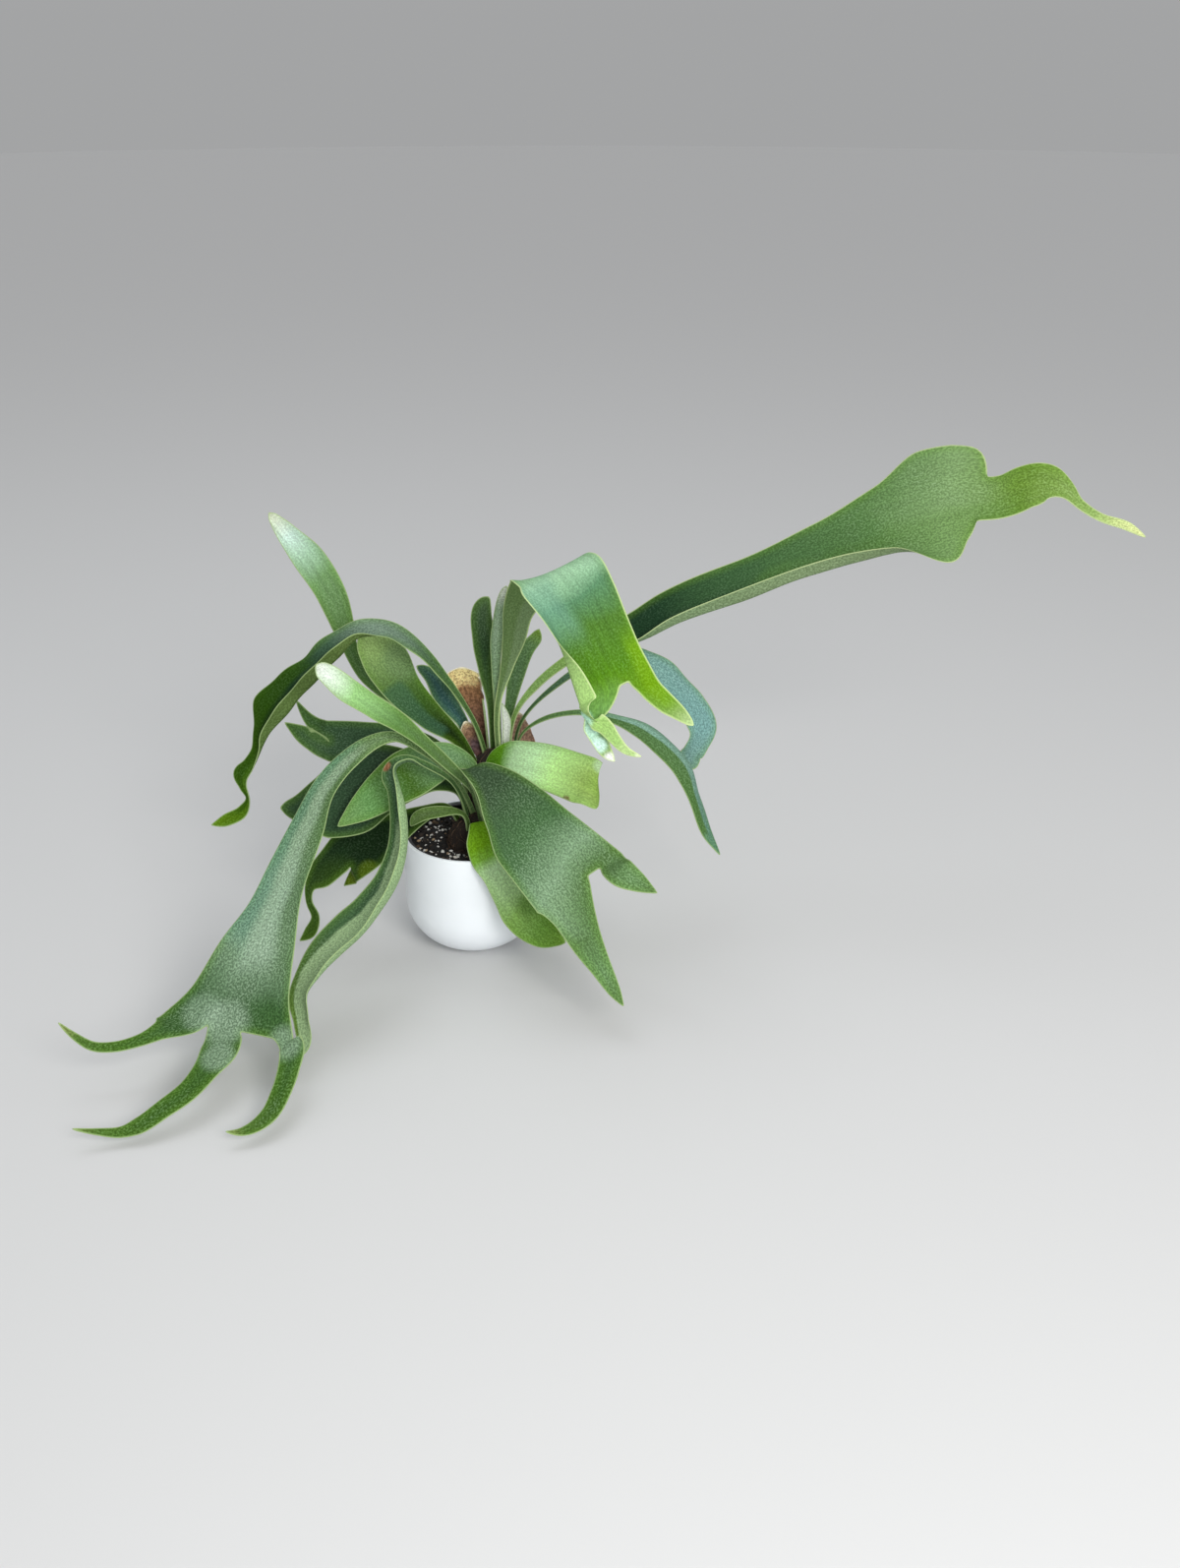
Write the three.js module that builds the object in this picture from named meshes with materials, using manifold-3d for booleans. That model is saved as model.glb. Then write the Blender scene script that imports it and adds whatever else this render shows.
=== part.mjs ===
// Staghorn fern in a white pot, in millimetres with +Z up. The floor is z = 0 and the pot stands on the origin.
import * as THREE from "three";
import loadManifold from "manifold-3d";

const library = await loadManifold();
library.setup();
const { Manifold, Mesh } = library;

// Sizes that the rest follows from
const POT_RADIUS = 62.5;
const POT_HEIGHT = 108;
const POT_LIP = 3.5;
const POT_FLOOR = 6;
const POT_EDGE = 1;
const FOOT_CURVE = 46.5;
const FOOT_SUNK = 3;
const LINER_WALL = 1.4;
const LINER_DROP = 2;
const LINER_LIP = 3;
const LINER_PLAY = 0.6;
const LINER_FOOT_RADIUS = 36;
const SOIL_LEVEL = 99;
const SOIL_DIP = 1.5;
const SOIL_FLAT_RADIUS = 46;
const GAP = 0.35;
const SOCKET_PLAY = 0.5;
const SOCKET_REACH = 30;
const BLADE = 1.0;
const PETIOLE = 3.2;
const PETIOLE_LENGTH = 45;
const SHIELD = 0.9;
const LOBE_JOIN = 9;
const ROUND_STEPS = 36;
const ROW_SPACING = 15;

// Each row of a blade holds x, y, z of its middle, its half width to the left and to the right, the way its
// upper face looks, and how far the left and the right margin turn up in degrees. A lobe grows from a share of
// the last row of what carries it, from -1 at the left margin to 1 at the right one.
const FRONDS = {
  "frond_long_right": {
    "rows": [
      [33, 34, 158, 2.6, 2.6, -0.5, -0.6, 0.5, 10, 10],
      [44, 36, 215, 3, 3, -0.6, -0.6, 0.4, 20, 20],
      [60, 39, 234, 4.5, 4.5, -0.5, -0.6, 0.5, 20, 20],
      [84, 43, 253, 5.5, 5.5, -0.4, -0.65, 0.6, 20, 25],
      [120, 50, 272, 8, 10, -0.3, -0.7, 0.6, 15, 50],
      [147, 52, 283, 15, 21, -0.3, -0.7, 0.6, 15, 100],
      [177, 54, 300, 17, 28, -0.3, -0.7, 0.6, 15, 140],
      [245, 56, 330, 17, 34, -0.3, -0.7, 0.6, 10, 155],
      [312, 56, 358, 22, 38, -0.25, -0.75, 0.6, 10, 140],
      [362, 54, 379, 34, 45, -0.2, -0.8, 0.6, 5, 100],
      [402, 50, 393, 53, 55, -0.2, -0.8, 0.6, 0, 20],
      [424, 48, 400, 51, 36, -0.2, -0.8, 0.6, 0, -10],
      [437, 47, 402, 46, 23, -0.1, -0.8, 0.6, 0, 30],
      [445, 45, 402, 21, 21, 0, -0.8, 0.6, 0, 40],
      [460, 42, 406, 19, 20, 0, -0.8, 0.6, 0, 20],
      [477, 38, 414, 20, 19, 0.1, -0.8, 0.6, 0, 10],
      [494, 34, 418, 17, 15, 0.3, -0.8, 0.5, 0, 0],
      [507, 30, 413, 11, 8, 0.5, -0.8, 0.4, 0, 0],
      [519, 26, 403, 5, 5, 0.4, -0.8, 0.5, 20, 20],
      [538, 22, 392, 4, 4, 0.3, -0.8, 0.6, 30, 30],
      [557, 16, 387, 4.5, 4.5, 0.2, -0.8, 0.6, 30, 30],
      [573, 10, 379, 1.2, 1.2, 0.2, -0.8, 0.6, 10, 10]],
    "bend": [2, [0.5, 0.85]], "wave": [1.5, 110, 0]},

  "frond_blue_right": {
    "rows": [
      [38, 38, 141, 2.4, 2.4, -0.6, -0.4, 0.6, 10, 10],
      [46, 42, 198, 2.4, 2.4, -0.6, -0.4, 0.6, 20, 20],
      [72, 44, 227, 3.2, 3.2, -0.5, -0.45, 0.7, 20, 20],
      [90, 44, 241, 4.5, 4.5, -0.4, -0.5, 0.8, 20, 20],
      [118, 38, 257, 7, 7, -0.2, -0.5, 0.8, 10, 10],
      [144, 31, 264, 11, 12, 0.1, -0.6, 0.8, 0, 0],
      [160, 26, 259, 14, 15, 0.4, -0.65, 0.65, -10, 20],
      [177, 20, 246, 17, 18, 0.6, -0.7, 0.4, -10, 70],
      [195, 12, 224, 18, 16, 0.7, -0.7, 0.1, 0, 60],
      [203, 12, 202, 21, 10, 0.5, -0.85, 0.1, 0, 20],
      [201, 13, 183, 12, 12, 0.3, -0.9, 0.2, 0, 20],
      [198, 14, 171, 9, 12, 0.1, -0.9, 0.2, 10, 30],
      [203, 14, 163, 7, 5, 0.1, -0.9, 0.2, 10, 30]],
    "bend": [1, 2], "wave": [1.5, 40, 0], "tip": 0.3},

  "frond_low_right": {
    "rows": [
      [39, 26, 148, 2.3, 2.3, -0.7, -0.3, 0.7, 10, 10],
      [49, 22, 196, 2.3, 2.3, -0.7, -0.3, 0.7, 20, 20],
      [66, 18, 209, 3, 3, -0.4, -0.4, 0.8, 20, 20],
      [96, 14, 217, 3.6, 3.6, 0, -0.4, 0.9, 10, 10],
      [127, 8, 215, 6, 6, 0.2, -0.4, 0.9, -30, -30],
      [153, 2, 208, 10, 11, 0.3, -0.45, 0.85, -45, -45],
      [176, -6, 194, 13, 14, 0.5, -0.5, 0.7, -50, -50],
      [194, -12, 173, 13, 14, 0.7, -0.5, 0.5, -50, -50],
      [202, -18, 148, 10, 9, 0.8, -0.55, 0.2, -40, -40],
      [212, -22, 118, 7, 7, 0.7, -0.6, 0.3, -30, -30],
      [224, -25, 95, 1, 1, 0.7, -0.6, 0.4, 0, 0]],
    "wave": [1, 50, 0]},

  "frond_pale_right": {
    "rows": [
      [18, 15, 151, 3, 3, -0.2, -0.8, 0.4, 10, 10],
      [17, 11, 165, 5, 5, -0.3, -0.7, 0.5, 15, 15],
      [22, 7, 174, 9, 9, -0.3, -0.7, 0.6, 15, 15],
      [32, 2, 179, 15, 14, -0.1, -0.7, 0.7, 10, 10],
      [55, -5, 178, 19, 20, 0.1, -0.75, 0.7, 0, 0],
      [84, -14, 173, 22, 23, 0.2, -0.8, 0.6, -10, 0],
      [102, -21, 168, 24, 24, 0.4, -0.8, 0.5, -15, 0],
      [112, -24, 164, 24, 23, 0.9, -0.5, 0.3, -10, 0],
      [115, -19, 158, 21, 19, 1, 0.1, 0.2, 0, 0]],
    "wave": [1.5, 60, 1], "tip": 0.2},

  "frond_arching_front": {
    "rows": [
      [26, 22, 164, 2.6, 2.6, 0.3, 0.9, 0.1, 10, 10],
      [26, 18, 227, 3, 3, 0.3, 0.9, 0.1, 20, 20],
      [35, 14, 259, 5, 7, 0.3, 0.9, 0.2, 35, 25],
      [42, 7, 289, 10, 12, 0.4, 0.85, 0.3, 40, 30],
      [47, -3, 319, 13, 15, 0.4, 0.8, 0.4, 30, 20],
      [58, -16, 343, 20, 19, 0.1, 0.5, 0.8, 10, 10],
      [67, -32, 358, 31, 27, -0.15, 0.3, 0.9, 10, 10],
      [78, -52, 368, 36, 32, -0.35, -0.1, 1, 5, 20],
      [87, -72, 368, 35, 37, -0.3, -0.5, 0.85, 0, 35],
      [98, -88, 357, 32, 38, -0.1, -0.8, 0.55, 0, 55],
      [110, -101, 338, 29, 42, 0.1, -0.9, 0.35, 0, 90],
      [121, -111, 317, 28, 49, 0.1, -0.9, 0.35, 0, 140],
      [131, -118, 297, 29, 55, 0.1, -0.9, 0.35, 0, 165]],
    "lobes": [
      {"from": [-1, -0.25], "rows": [
        [154, -121, 296, 10, 8.5, 0.1, -0.9, 0.4, 5, 0],
        [165, -124, 287, 8.5, 8.5, 0.15, -0.9, 0.4, 5, 0],
        [177, -127, 278, 6.5, 6, 0.15, -0.9, 0.4, 5, 0],
        [189, -129, 268, 2, 2, 0.2, -0.9, 0.4, 0, 0]]},
      {"from": [0, 1], "rows": [
        [102, -128, 276, 11, 20, 0.1, -0.9, 0.3, 0, 175]], "bend": [1, [0, 0.35]],
        "lobes": [
          {"from": [-1, 0], "rows": [
            [110, -125, 266, 9, 9, -0.1, -0.9, 0.3, 0, 10],
            [114, -126, 256, 7.5, 7.5, -0.2, -0.9, 0.3, 0, 10],
            [120, -127, 244, 5.5, 5.5, -0.3, -0.9, 0.3, 0, 10],
            [127, -128, 236, 1.5, 1.5, -0.3, -0.9, 0.3, 0, 0]]},
          {"from": [0, 1], "rows": [
            [118, -134, 270, 7.5, 7.5, 0.2, 0.95, 0, 0, 0],
            [126, -135, 260, 5.5, 5.5, 0.2, 0.95, 0, 0, 0],
            [135, -136, 250, 3.8, 3.8, 0.2, 0.95, 0, 0, 0],
            [148, -138, 245, 1, 1, 0.2, 0.95, 0, 0, 0]]}]}],
    "bend": [2, [0.57, 0.79]], "wave": [1, 90, 0], "columns": 8},

  "frond_left_arch": {
    "rows": [
      [13, 30, 164, 2.6, 2.6, 0.5, -0.5, 0.5, 10, 10],
      [6, 28, 194, 2.8, 2.8, 0.6, -0.5, 0.5, 20, 20],
      [-13, 24, 234, 4, 4, 0.6, -0.5, 0.6, 20, 20],
      [-31, 20, 262, 6.5, 6, 0.5, -0.5, 0.7, 15, 20],
      [-51, 16, 284, 9, 9, 0.3, -0.5, 0.8, 20, 15],
      [-73, 12, 297, 13, 11, 0, -0.5, 0.9, 40, 10],
      [-94, 6, 296, 17, 12, -0.2, -0.5, 0.85, 100, 10],
      [-114, 0, 284, 25, 14, -0.3, -0.6, 0.75, 145, 10],
      [-134, -6, 266, 29, 16, -0.4, -0.6, 0.65, 160, 0],
      [-154, -12, 247, 30, 21, -0.4, -0.65, 0.6, 160, 0],
      [-168, -17, 230, 27, 25, -0.5, -0.7, 0.5, 150, 0],
      [-178, -21, 213, 18, 11, -0.6, -0.7, 0.4, 130, 10],
      [-183, -24, 197, 8, 6, -0.6, -0.75, 0.3, 80, 10],
      [-190, -26, 184, 7, 8, -0.5, -0.8, 0.3, 50, 10],
      [-196, -28, 174, 6, 12, -0.5, -0.8, 0.3, 40, 10],
      [-196, -30, 167, 4, 5, -0.4, -0.8, 0.3, 30, 20],
      [-192, -32, 155, 3.5, 3.5, -0.7, -0.6, -0.1, 30, 30],
      [-198, -33, 143, 6, 6, -0.4, -0.8, 0.5, 20, 20],
      [-211, -34, 136, 7, 6, -0.3, -0.8, 0.6, 20, 20],
      [-227, -34, 130, 1, 1, -0.3, -0.8, 0.6, 0, 0]],
    "bend": [[0.4, 0.8], 1], "wave": [1.5, 36, 0]},

  "frond_upper_left": {
    "rows": [
      [3, 42, 142, 2.3, 2.3, 0.6, -0.3, 0.6, 10, 10],
      [-28, 56, 186, 2.3, 2.3, 0.5, -0.4, 0.8, 20, 20],
      [-61, 66, 197, 2.6, 2.6, 0.4, -0.5, 0.8, 20, 20],
      [-85, 72, 212, 5, 5, 0.6, -0.6, 0.5, 20, 20],
      [-102, 74, 233, 8, 8, 0.5, -0.7, 0.4, 20, 20],
      [-111, 74, 254, 8, 8, 0.5, -0.7, 0.3, 20, 20],
      [-116, 73, 275, 10, 11, 0.4, -0.8, 0.2, 20, 20],
      [-124, 70, 308, 14, 14, 0.3, -0.9, 0.2, 20, 20],
      [-139, 64, 341, 14.5, 14.5, 0.3, -0.9, 0.3, 20, 20],
      [-157, 58, 368, 10, 10, 0.2, -0.9, 0.3, 30, 30],
      [-169, 52, 388, 3, 3, 0.2, -0.9, 0.3, 20, 20]],
    "wave": [1, 70, 0]},

  "frond_broad_left": {
    "rows": [
      [5, 23, 158, 3, 3, 0.4, -0.5, 0.7, 10, 10],
      [-12, 24, 190, 10, 6, 0.4, -0.6, 0.6, 15, 15],
      [-34, 28, 212, 20, 9, 0.4, -0.7, 0.6, 10, 10],
      [-54, 33, 234, 24, 13, 0.4, -0.7, 0.6, 5, 5],
      [-72, 38, 256, 24, 20, 0.3, -0.75, 0.6, 5, 5],
      [-84, 42, 272, 19, 20, 0.3, -0.75, 0.6, 5, 5],
      [-95, 45, 286, 8, 8, 0.3, -0.75, 0.6, 5, 5]],
    "wave": [1.5, 60, 0]},

  "frond_teal_left": {
    "rows": [
      [-1, 36, 142, 2.3, 2.3, 0.6, -0.5, 0.4, 10, 10],
      [-8, 43, 193, 6, 6, 0.4, -0.6, 0.6, 10, 10],
      [-25, 53, 214, 10, 10, 0.3, -0.7, 0.6, 10, 10],
      [-39, 59, 236, 7, 7, 0.3, -0.8, 0.5, 10, 10],
      [-50, 61, 243, 2.5, 2.5, 0.3, -0.8, 0.5, 10, 10]],
    "wave": [0.5, 50, 0]},

  "frond_white_tipped": {
    "rows": [
      [13, -6, 118, 2.4, 2.4, 0.4, -0.6, 0.7, 10, 10],
      [1, -16, 159, 4, 4, 0.5, -0.6, 0.6, 20, 40],
      [-17, -24, 184, 6, 6, 0.5, -0.6, 0.6, 20, 60],
      [-37, -34, 211, 7, 7, 0.5, -0.6, 0.6, 20, 60],
      [-55, -44, 235, 11, 8, 0.4, -0.7, 0.6, 20, 50],
      [-74, -54, 255, 14, 8, 0.4, -0.7, 0.6, 20, 50],
      [-92, -64, 273, 14, 9, 0.3, -0.8, 0.6, 20, 50],
      [-106, -70, 288, 11, 8, 0.2, -0.8, 0.6, 20, 40],
      [-116, -74, 297, 7, 5, 0.2, -0.8, 0.6, 20, 40]],
    "bend": [1, 2], "wave": [0.5, 60, 0], "tip": 0.6},

  "frond_large_left": {
    "rows": [
      [4, -2, 118, 3, 3, 0.4, -0.5, 0.7, 10, 10],
      [-16, -13, 170, 3, 3, 0.5, -0.5, 0.7, 30, 30],
      [-42, -24, 199, 3.5, 3.5, 0.4, -0.5, 0.7, 30, 30],
      [-63, -34, 215, 6, 6, 0, -0.55, 0.85, 20, 20],
      [-81, -46, 214, 9, 9, -0.4, -0.6, 0.7, 15, 10],
      [-99, -58, 203, 12, 12, -0.5, -0.6, 0.6, 15, 5],
      [-115, -73, 187, 14, 14, -0.5, -0.7, 0.5, 15, 5],
      [-131, -94, 160, 20, 17, -0.45, -0.75, 0.5, 15, 5],
      [-142, -120, 136, 23, 20, -0.4, -0.7, 0.6, 15, 5],
      [-153, -147, 113, 27, 24, -0.3, -0.6, 0.75, 15, 5],
      [-164, -175, 91, 35, 32, -0.2, -0.6, 0.8, 10, 5],
      [-172, -203, 67, 43, 43, -0.2, -0.6, 0.8, 5, 5],
      [-179, -226, 46, 54, 60, -0.1, -0.6, 0.8, 0, 5]],
    "lobes": [
      {"from": [0.33, 1], "blend": 22, "rows": [
        [-235, -233, 48, 7, 9.5, -0.2, -0.6, 0.8, 0, 0],
        [-250, -238, 44, 5.5, 5.5, -0.2, -0.6, 0.8, 0, 0],
        [-267, -243, 42, 4.6, 4.6, -0.2, -0.6, 0.8, 0, 0],
        [-284, -245, 44, 4, 4, -0.1, -0.6, 0.8, 0, 0],
        [-296, -246, 54, 3, 3, 0.1, -0.6, 0.8, 0, 0],
        [-307, -246, 67, 0.8, 0.8, 0.3, -0.6, 0.7, 0, 0]]},
      {"from": [-0.17, 0.33], "rows": [
        [-185, -241, 39, 17, 16, -0.2, -0.6, 0.8, 0, 0],
        [-193, -262, 33, 12, 11, -0.2, -0.6, 0.8, 0, 0],
        [-203, -279, 27, 10, 9.5, -0.2, -0.6, 0.8, 0, 0],
        [-219, -293, 21, 9, 8, -0.2, -0.6, 0.8, 0, 0],
        [-235, -304, 14, 8, 7, -0.1, -0.5, 0.85, 0, 0],
        [-247, -309, 11, 5, 5, 0, -0.5, 0.85, 0, 0],
        [-265, -313, 14, 3, 3, 0, -0.5, 0.85, 0, 0],
        [-282, -317, 20, 0.8, 0.8, 0.2, -0.5, 0.8, 0, 0]]},
      {"from": [-1, -0.67], "rows": [
        [-129, -242, 44, 11, 11, -0.1, -0.6, 0.8, 0, 0],
        [-128, -262, 33, 9, 9, -0.1, -0.6, 0.8, 0, 0],
        [-131, -279, 25, 8.5, 9, -0.2, -0.5, 0.8, 0, 0],
        [-138, -296, 17, 8, 8, -0.2, -0.4, 0.9, 0, 0],
        [-150, -307, 13, 6, 5, -0.1, -0.4, 0.9, 0, 0],
        [-158, -311, 12, 3.5, 3.5, 0, -0.4, 0.9, 0, 0],
        [-168, -314, 15, 0.8, 0.8, 0, -0.4, 0.9, 0, 0]]}],
    "wave": [1.5, 90, 0], "columns": 12},

  "frond_twisted": {
    "rows": [
      [-2, -9, 117, 2.5, 2.5, 0.4, -0.4, 0.8, 10, 10],
      [-18, -25, 172, 4, 4, 0.4, -0.3, 0.8, 30, 30],
      [-38, -35, 189, 6, 6, 0.2, -0.2, 0.9, 50, 50],
      [-52, -45, 197, 7, 10, -0.3, 0, 0.9, 60, 60],
      [-59, -54, 194, 6, 17, -0.8, 0.1, 0.5, 60, 70],
      [-56, -62, 186, 6, 20, -0.9, 0, 0.1, 65, 75],
      [-50, -72, 167, 13, 22, -0.9, -0.2, 0, 70, 75],
      [-48, -86, 146, 16, 22, -0.9, -0.3, 0.1, 70, 75],
      [-54, -106, 118, 20, 26, -0.85, -0.3, 0.3, 70, 70],
      [-67, -126, 101, 22, 30, -0.8, -0.3, 0.5, 70, 60],
      [-83, -146, 88, 22, 32, -0.7, -0.4, 0.6, 70, 50],
      [-99, -162, 79, 22, 30, -0.7, -0.4, 0.6, 70, 45],
      [-114, -178, 69, 16, 24, -0.7, -0.4, 0.6, 65, 40],
      [-125, -192, 57, 11, 16, -0.6, -0.4, 0.6, 60, 30],
      [-124, -207, 43, 9, 10, -0.5, -0.4, 0.6, 40, 30],
      [-123, -220, 28, 7, 6, -0.3, -0.5, 0.6, 20, 20],
      [-126, -226, 20, 2, 2, -0.3, -0.5, 0.6, 10, 10]],
    "wave": [0.8, 50, 0]},

  "frond_bright_left": {
    "rows": [
      [7, 12, 149, 3, 3, 0.5, -0.6, 0.3, 10, 10],
      [-3, 9, 171, 8, 8, 0.3, -0.6, 0.7, 15, 15],
      [-17, 4, 178, 14, 14, 0.1, -0.7, 0.7, 10, 10],
      [-34, -5, 177, 21, 20, 0, -0.75, 0.7, 5, 5],
      [-53, -17, 171, 24, 24, -0.2, -0.8, 0.6, 5, 5],
      [-73, -31, 163, 20, 20, -0.3, -0.8, 0.5, 0, 0],
      [-92, -43, 151, 13, 13, -0.4, -0.8, 0.4, 0, 0],
      [-112, -54, 139, 1.5, 1.5, -0.4, -0.8, 0.4, 0, 0]],
    "wave": [1, 70, 0]},

  "frond_dark_left": {
    "rows": [
      [-4, 4, 115, 3, 3, 0.2, -0.5, 0.8, 10, 10],
      [-12, 3, 146, 5, 5, 0.2, -0.5, 0.8, 15, 15],
      [-28, 0, 156, 9, 9, 0.1, -0.7, 0.7, 10, 10],
      [-52, -5, 161, 20, 26, -0.1, -0.8, 0.6, 5, 5],
      [-78, -12, 160, 29, 36, -0.2, -0.85, 0.5, 5, 5],
      [-105, -19, 154, 38, 34, -0.2, -0.85, 0.5, 0, 0],
      [-132, -25, 149, 34, 20, -0.2, -0.85, 0.5, 0, 0],
      [-152, -28, 145, 14, 10, -0.2, -0.85, 0.5, 0, 0],
      [-166, -28, 144, 4, 4, -0.2, -0.85, 0.5, 0, 0]],
    "wave": [1, 70, 0]},

  "frond_under_left": {
    "rows": [
      [-10, -3, 115, 2.6, 2.6, 0, -0.5, 0.8, 10, 10],
      [-22, -7, 134, 4, 4, 0, -0.5, 0.8, 20, 20],
      [-44, -11, 128, 9, 9, -0.2, -0.7, 0.7, 10, 10],
      [-72, -16, 113, 17, 18, -0.4, -0.75, 0.5, 0, 0],
      [-96, -21, 99, 22, 26, -0.5, -0.75, 0.4, 0, 0],
      [-112, -25, 89, 23, 27, -0.5, -0.75, 0.4, 0, 0]],
    "lobes": [
      {"from": [-0.35, 1], "rows": [
        [-134, -30, 79, 15, 15, -0.5, -0.75, 0.4, 0, 0],
        [-145, -34, 67, 6, 6, -0.5, -0.75, 0.4, 0, 0],
        [-146, -37, 54, 3.5, 3.5, -0.3, -0.85, 0.3, 0, 0],
        [-141, -40, 39, 4, 4, 0, -0.9, 0.2, 0, 0],
        [-146, -42, 26, 6, 6, -0.4, -0.9, 0.2, 0, 0],
        [-157, -43, 16, 1, 1, -0.4, -0.9, 0.3, 0, 0]]},
      {"from": [-1, -0.35], "rows": [
        [-106, -28, 74, 7, 7, -0.5, -0.75, 0.4, 0, 0],
        [-115, -30, 66, 1, 1, -0.5, -0.75, 0.4, 0, 0]]}],
    "wave": [1, 60, 0]},

  "frond_antler_left": {
    "rows": [
      [-3, 19, 136, 2.6, 2.6, 0.6, -0.5, 0.3, 10, 10],
      [-33, 25, 182, 5, 5, 0.3, -0.5, 0.7, 20, 20],
      [-70, 25, 192, 9, 9, 0.1, -0.7, 0.7, 10, 10],
      [-100, 21, 190, 16, 15, -0.2, -0.8, 0.6, 5, 5],
      [-127, 17, 188, 20, 20, -0.2, -0.8, 0.6, 0, 0]],
    "lobes": [
      {"from": [0, 1], "rows": [
        [-139, 16, 207, 7, 6, -0.1, -0.85, 0.5, 0, 0],
        [-152, 14, 229, 1, 1, -0.1, -0.85, 0.5, 0, 0]]},
      {"from": [-1, 0], "rows": [
        [-145, 13, 194, 9, 9, -0.2, -0.85, 0.5, 0, 0],
        [-163, 9, 210, 1, 1, -0.2, -0.85, 0.5, 0, 0]]}],
    "wave": [1, 60, 0]},

  "frond_narrow_front": {
    "rows": [
      [-1, -22, 112, 2.2, 2.2, 0.2, -0.5, 0.8, 10, 10],
      [-6, -24, 136, 3, 3, 0.1, -0.4, 0.9, 20, 20],
      [-27, -28, 140, 7, 6, 0, -0.5, 0.85, 20, 20],
      [-45, -32, 136, 8, 7, -0.4, -0.5, 0.7, 20, 20],
      [-51, -35, 129, 4, 4, -0.8, -0.4, 0.4, 20, 20]],
    "wave": [0.5, 50, 0], "tip": 0.8},

  "frond_forked_front": {
    "rows": [
      [12, -16, 117, 2.6, 2.6, 0.3, 0.4, 0.7, 10, 10],
      [3, -27, 162, 3.5, 3.5, 0.4, 0.3, 0.8, 20, 20],
      [-2, -35, 184, 6, 6, 0.3, 0, 0.9, 20, 20],
      [7, -43, 188, 11, 12, 0.1, -0.3, 0.9, 10, 10],
      [26, -53, 181, 17, 22, 0, -0.6, 0.8, 5, 5],
      [46, -69, 165, 27, 33, 0.1, -0.7, 0.7, 0, 0],
      [66, -90, 147, 35, 42, 0.1, -0.75, 0.65, 0, 0],
      [96, -123, 121, 47, 41, 0.1, -0.75, 0.65, 0, 0]],
    "lobes": [
      {"from": [-1, -0.5], "rows": [
        [134, -125, 135, 11, 15, 0.1, -0.75, 0.65, 0, 0],
        [147, -129, 127, 8, 10, 0.1, -0.75, 0.65, 0, 0],
        [163, -133, 118, 0.8, 0.8, 0.1, -0.75, 0.65, 0, 0]]},
      {"from": [-0.25, 1], "rows": [
        [94, -138, 95, 20, 16, 0.1, -0.75, 0.6, 0, 0],
        [106, -150, 79, 13, 14, 0.1, -0.75, 0.6, 0, 0],
        [118, -161, 62, 8, 10, 0.1, -0.8, 0.5, 0, 0],
        [128, -169, 45, 5, 6, 0.1, -0.8, 0.5, 0, 0],
        [135, -173, 33, 0.8, 0.8, 0.1, -0.8, 0.5, 0, 0]]}],
    "wave": [1, 90, 0], "columns": 8},

  "frond_lower_front": {
    "rows": [
      [11, -22, 110, 2.6, 2.6, 0, -0.9, 0.3, 10, 10],
      [9, -27, 126, 5, 5, 0, -0.8, 0.4, 10, 10],
      [9, -33, 132, 8, 8, 0, -0.5, 0.8, 10, 10],
      [11, -41, 129, 11, 11, 0, -0.3, 0.9, 5, 5],
      [14, -48, 122, 14, 16, 0, -0.6, 0.8, 5, 5],
      [20, -62, 113, 17, 17, 0.1, -0.8, 0.5, 0, 0],
      [28, -70, 99, 18, 14, 0.2, -0.9, 0.3, 0, 0],
      [39, -77, 82, 20, 16, 0.2, -0.9, 0.3, 0, 0],
      [46, -80, 72, 18, 19, 0.2, -0.9, 0.4, 0, 0],
      [53, -82, 62, 17, 18, 0.2, -0.9, 0.4, 0, 0],
      [67, -85, 51, 13, 15, 0.2, -0.9, 0.4, 0, 0],
      [86, -88, 42, 2, 2, 0.2, -0.9, 0.4, 0, 0]],
    "wave": [3, 38, 0]},

  "frond_dark_upright": {
    "rows": [
      [19, 33, 166, 2.6, 2.6, 0, -0.9, 0.1, 10, 10],
      [18, 34, 216, 3.5, 3.5, 0, -0.9, 0.1, 20, 20],
      [15, 38, 246, 7, 6, -0.1, -0.9, 0.1, 20, 20],
      [13, 40, 276, 10, 11, -0.2, -0.9, 0.1, 20, 20],
      [13, 36, 303, 10, 11, -0.2, -0.8, 0.4, 10, 10],
      [20, 30, 319, 5, 6, -0.2, -0.7, 0.6, 10, 10]],
    "wave": [0.5, 70, 0]},

  "frond_curled_upright": {
    "rows": [
      [25, 30, 165, 2.4, 2.4, 0.3, -0.9, 0.1, 10, 10],
      [24, 28, 230, 3.5, 3.5, 0.3, -0.9, 0.1, 30, 30],
      [23, 28, 262, 6, 6, 0.5, -0.8, 0.1, 60, 60],
      [25, 26, 292, 8, 8, 0.5, -0.8, 0.1, 60, 60],
      [30, 20, 318, 8, 8, 0.4, -0.8, 0.2, 60, 60],
      [36, 12, 336, 3, 3, 0.2, -0.8, 0.4, 40, 40]],
    "wave": [0.4, 70, 0]},

  "frond_back_upright": {
    "rows": [
      [29, 41, 155, 2.4, 2.4, -0.2, -0.9, 0.2, 10, 10],
      [35, 46, 211, 5, 5, -0.2, -0.9, 0.2, 10, 10],
      [43, 51, 239, 9, 6, -0.2, -0.9, 0.2, 10, 10],
      [52, 54, 262, 8, 6, -0.2, -0.9, 0.2, 10, 10],
      [58, 56, 272, 5, 7, -0.2, -0.9, 0.2, 10, 10],
      [62, 57, 280, 2, 2, -0.2, -0.9, 0.2, 10, 10]],
    "wave": [0.5, 50, 0]}
};

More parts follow.
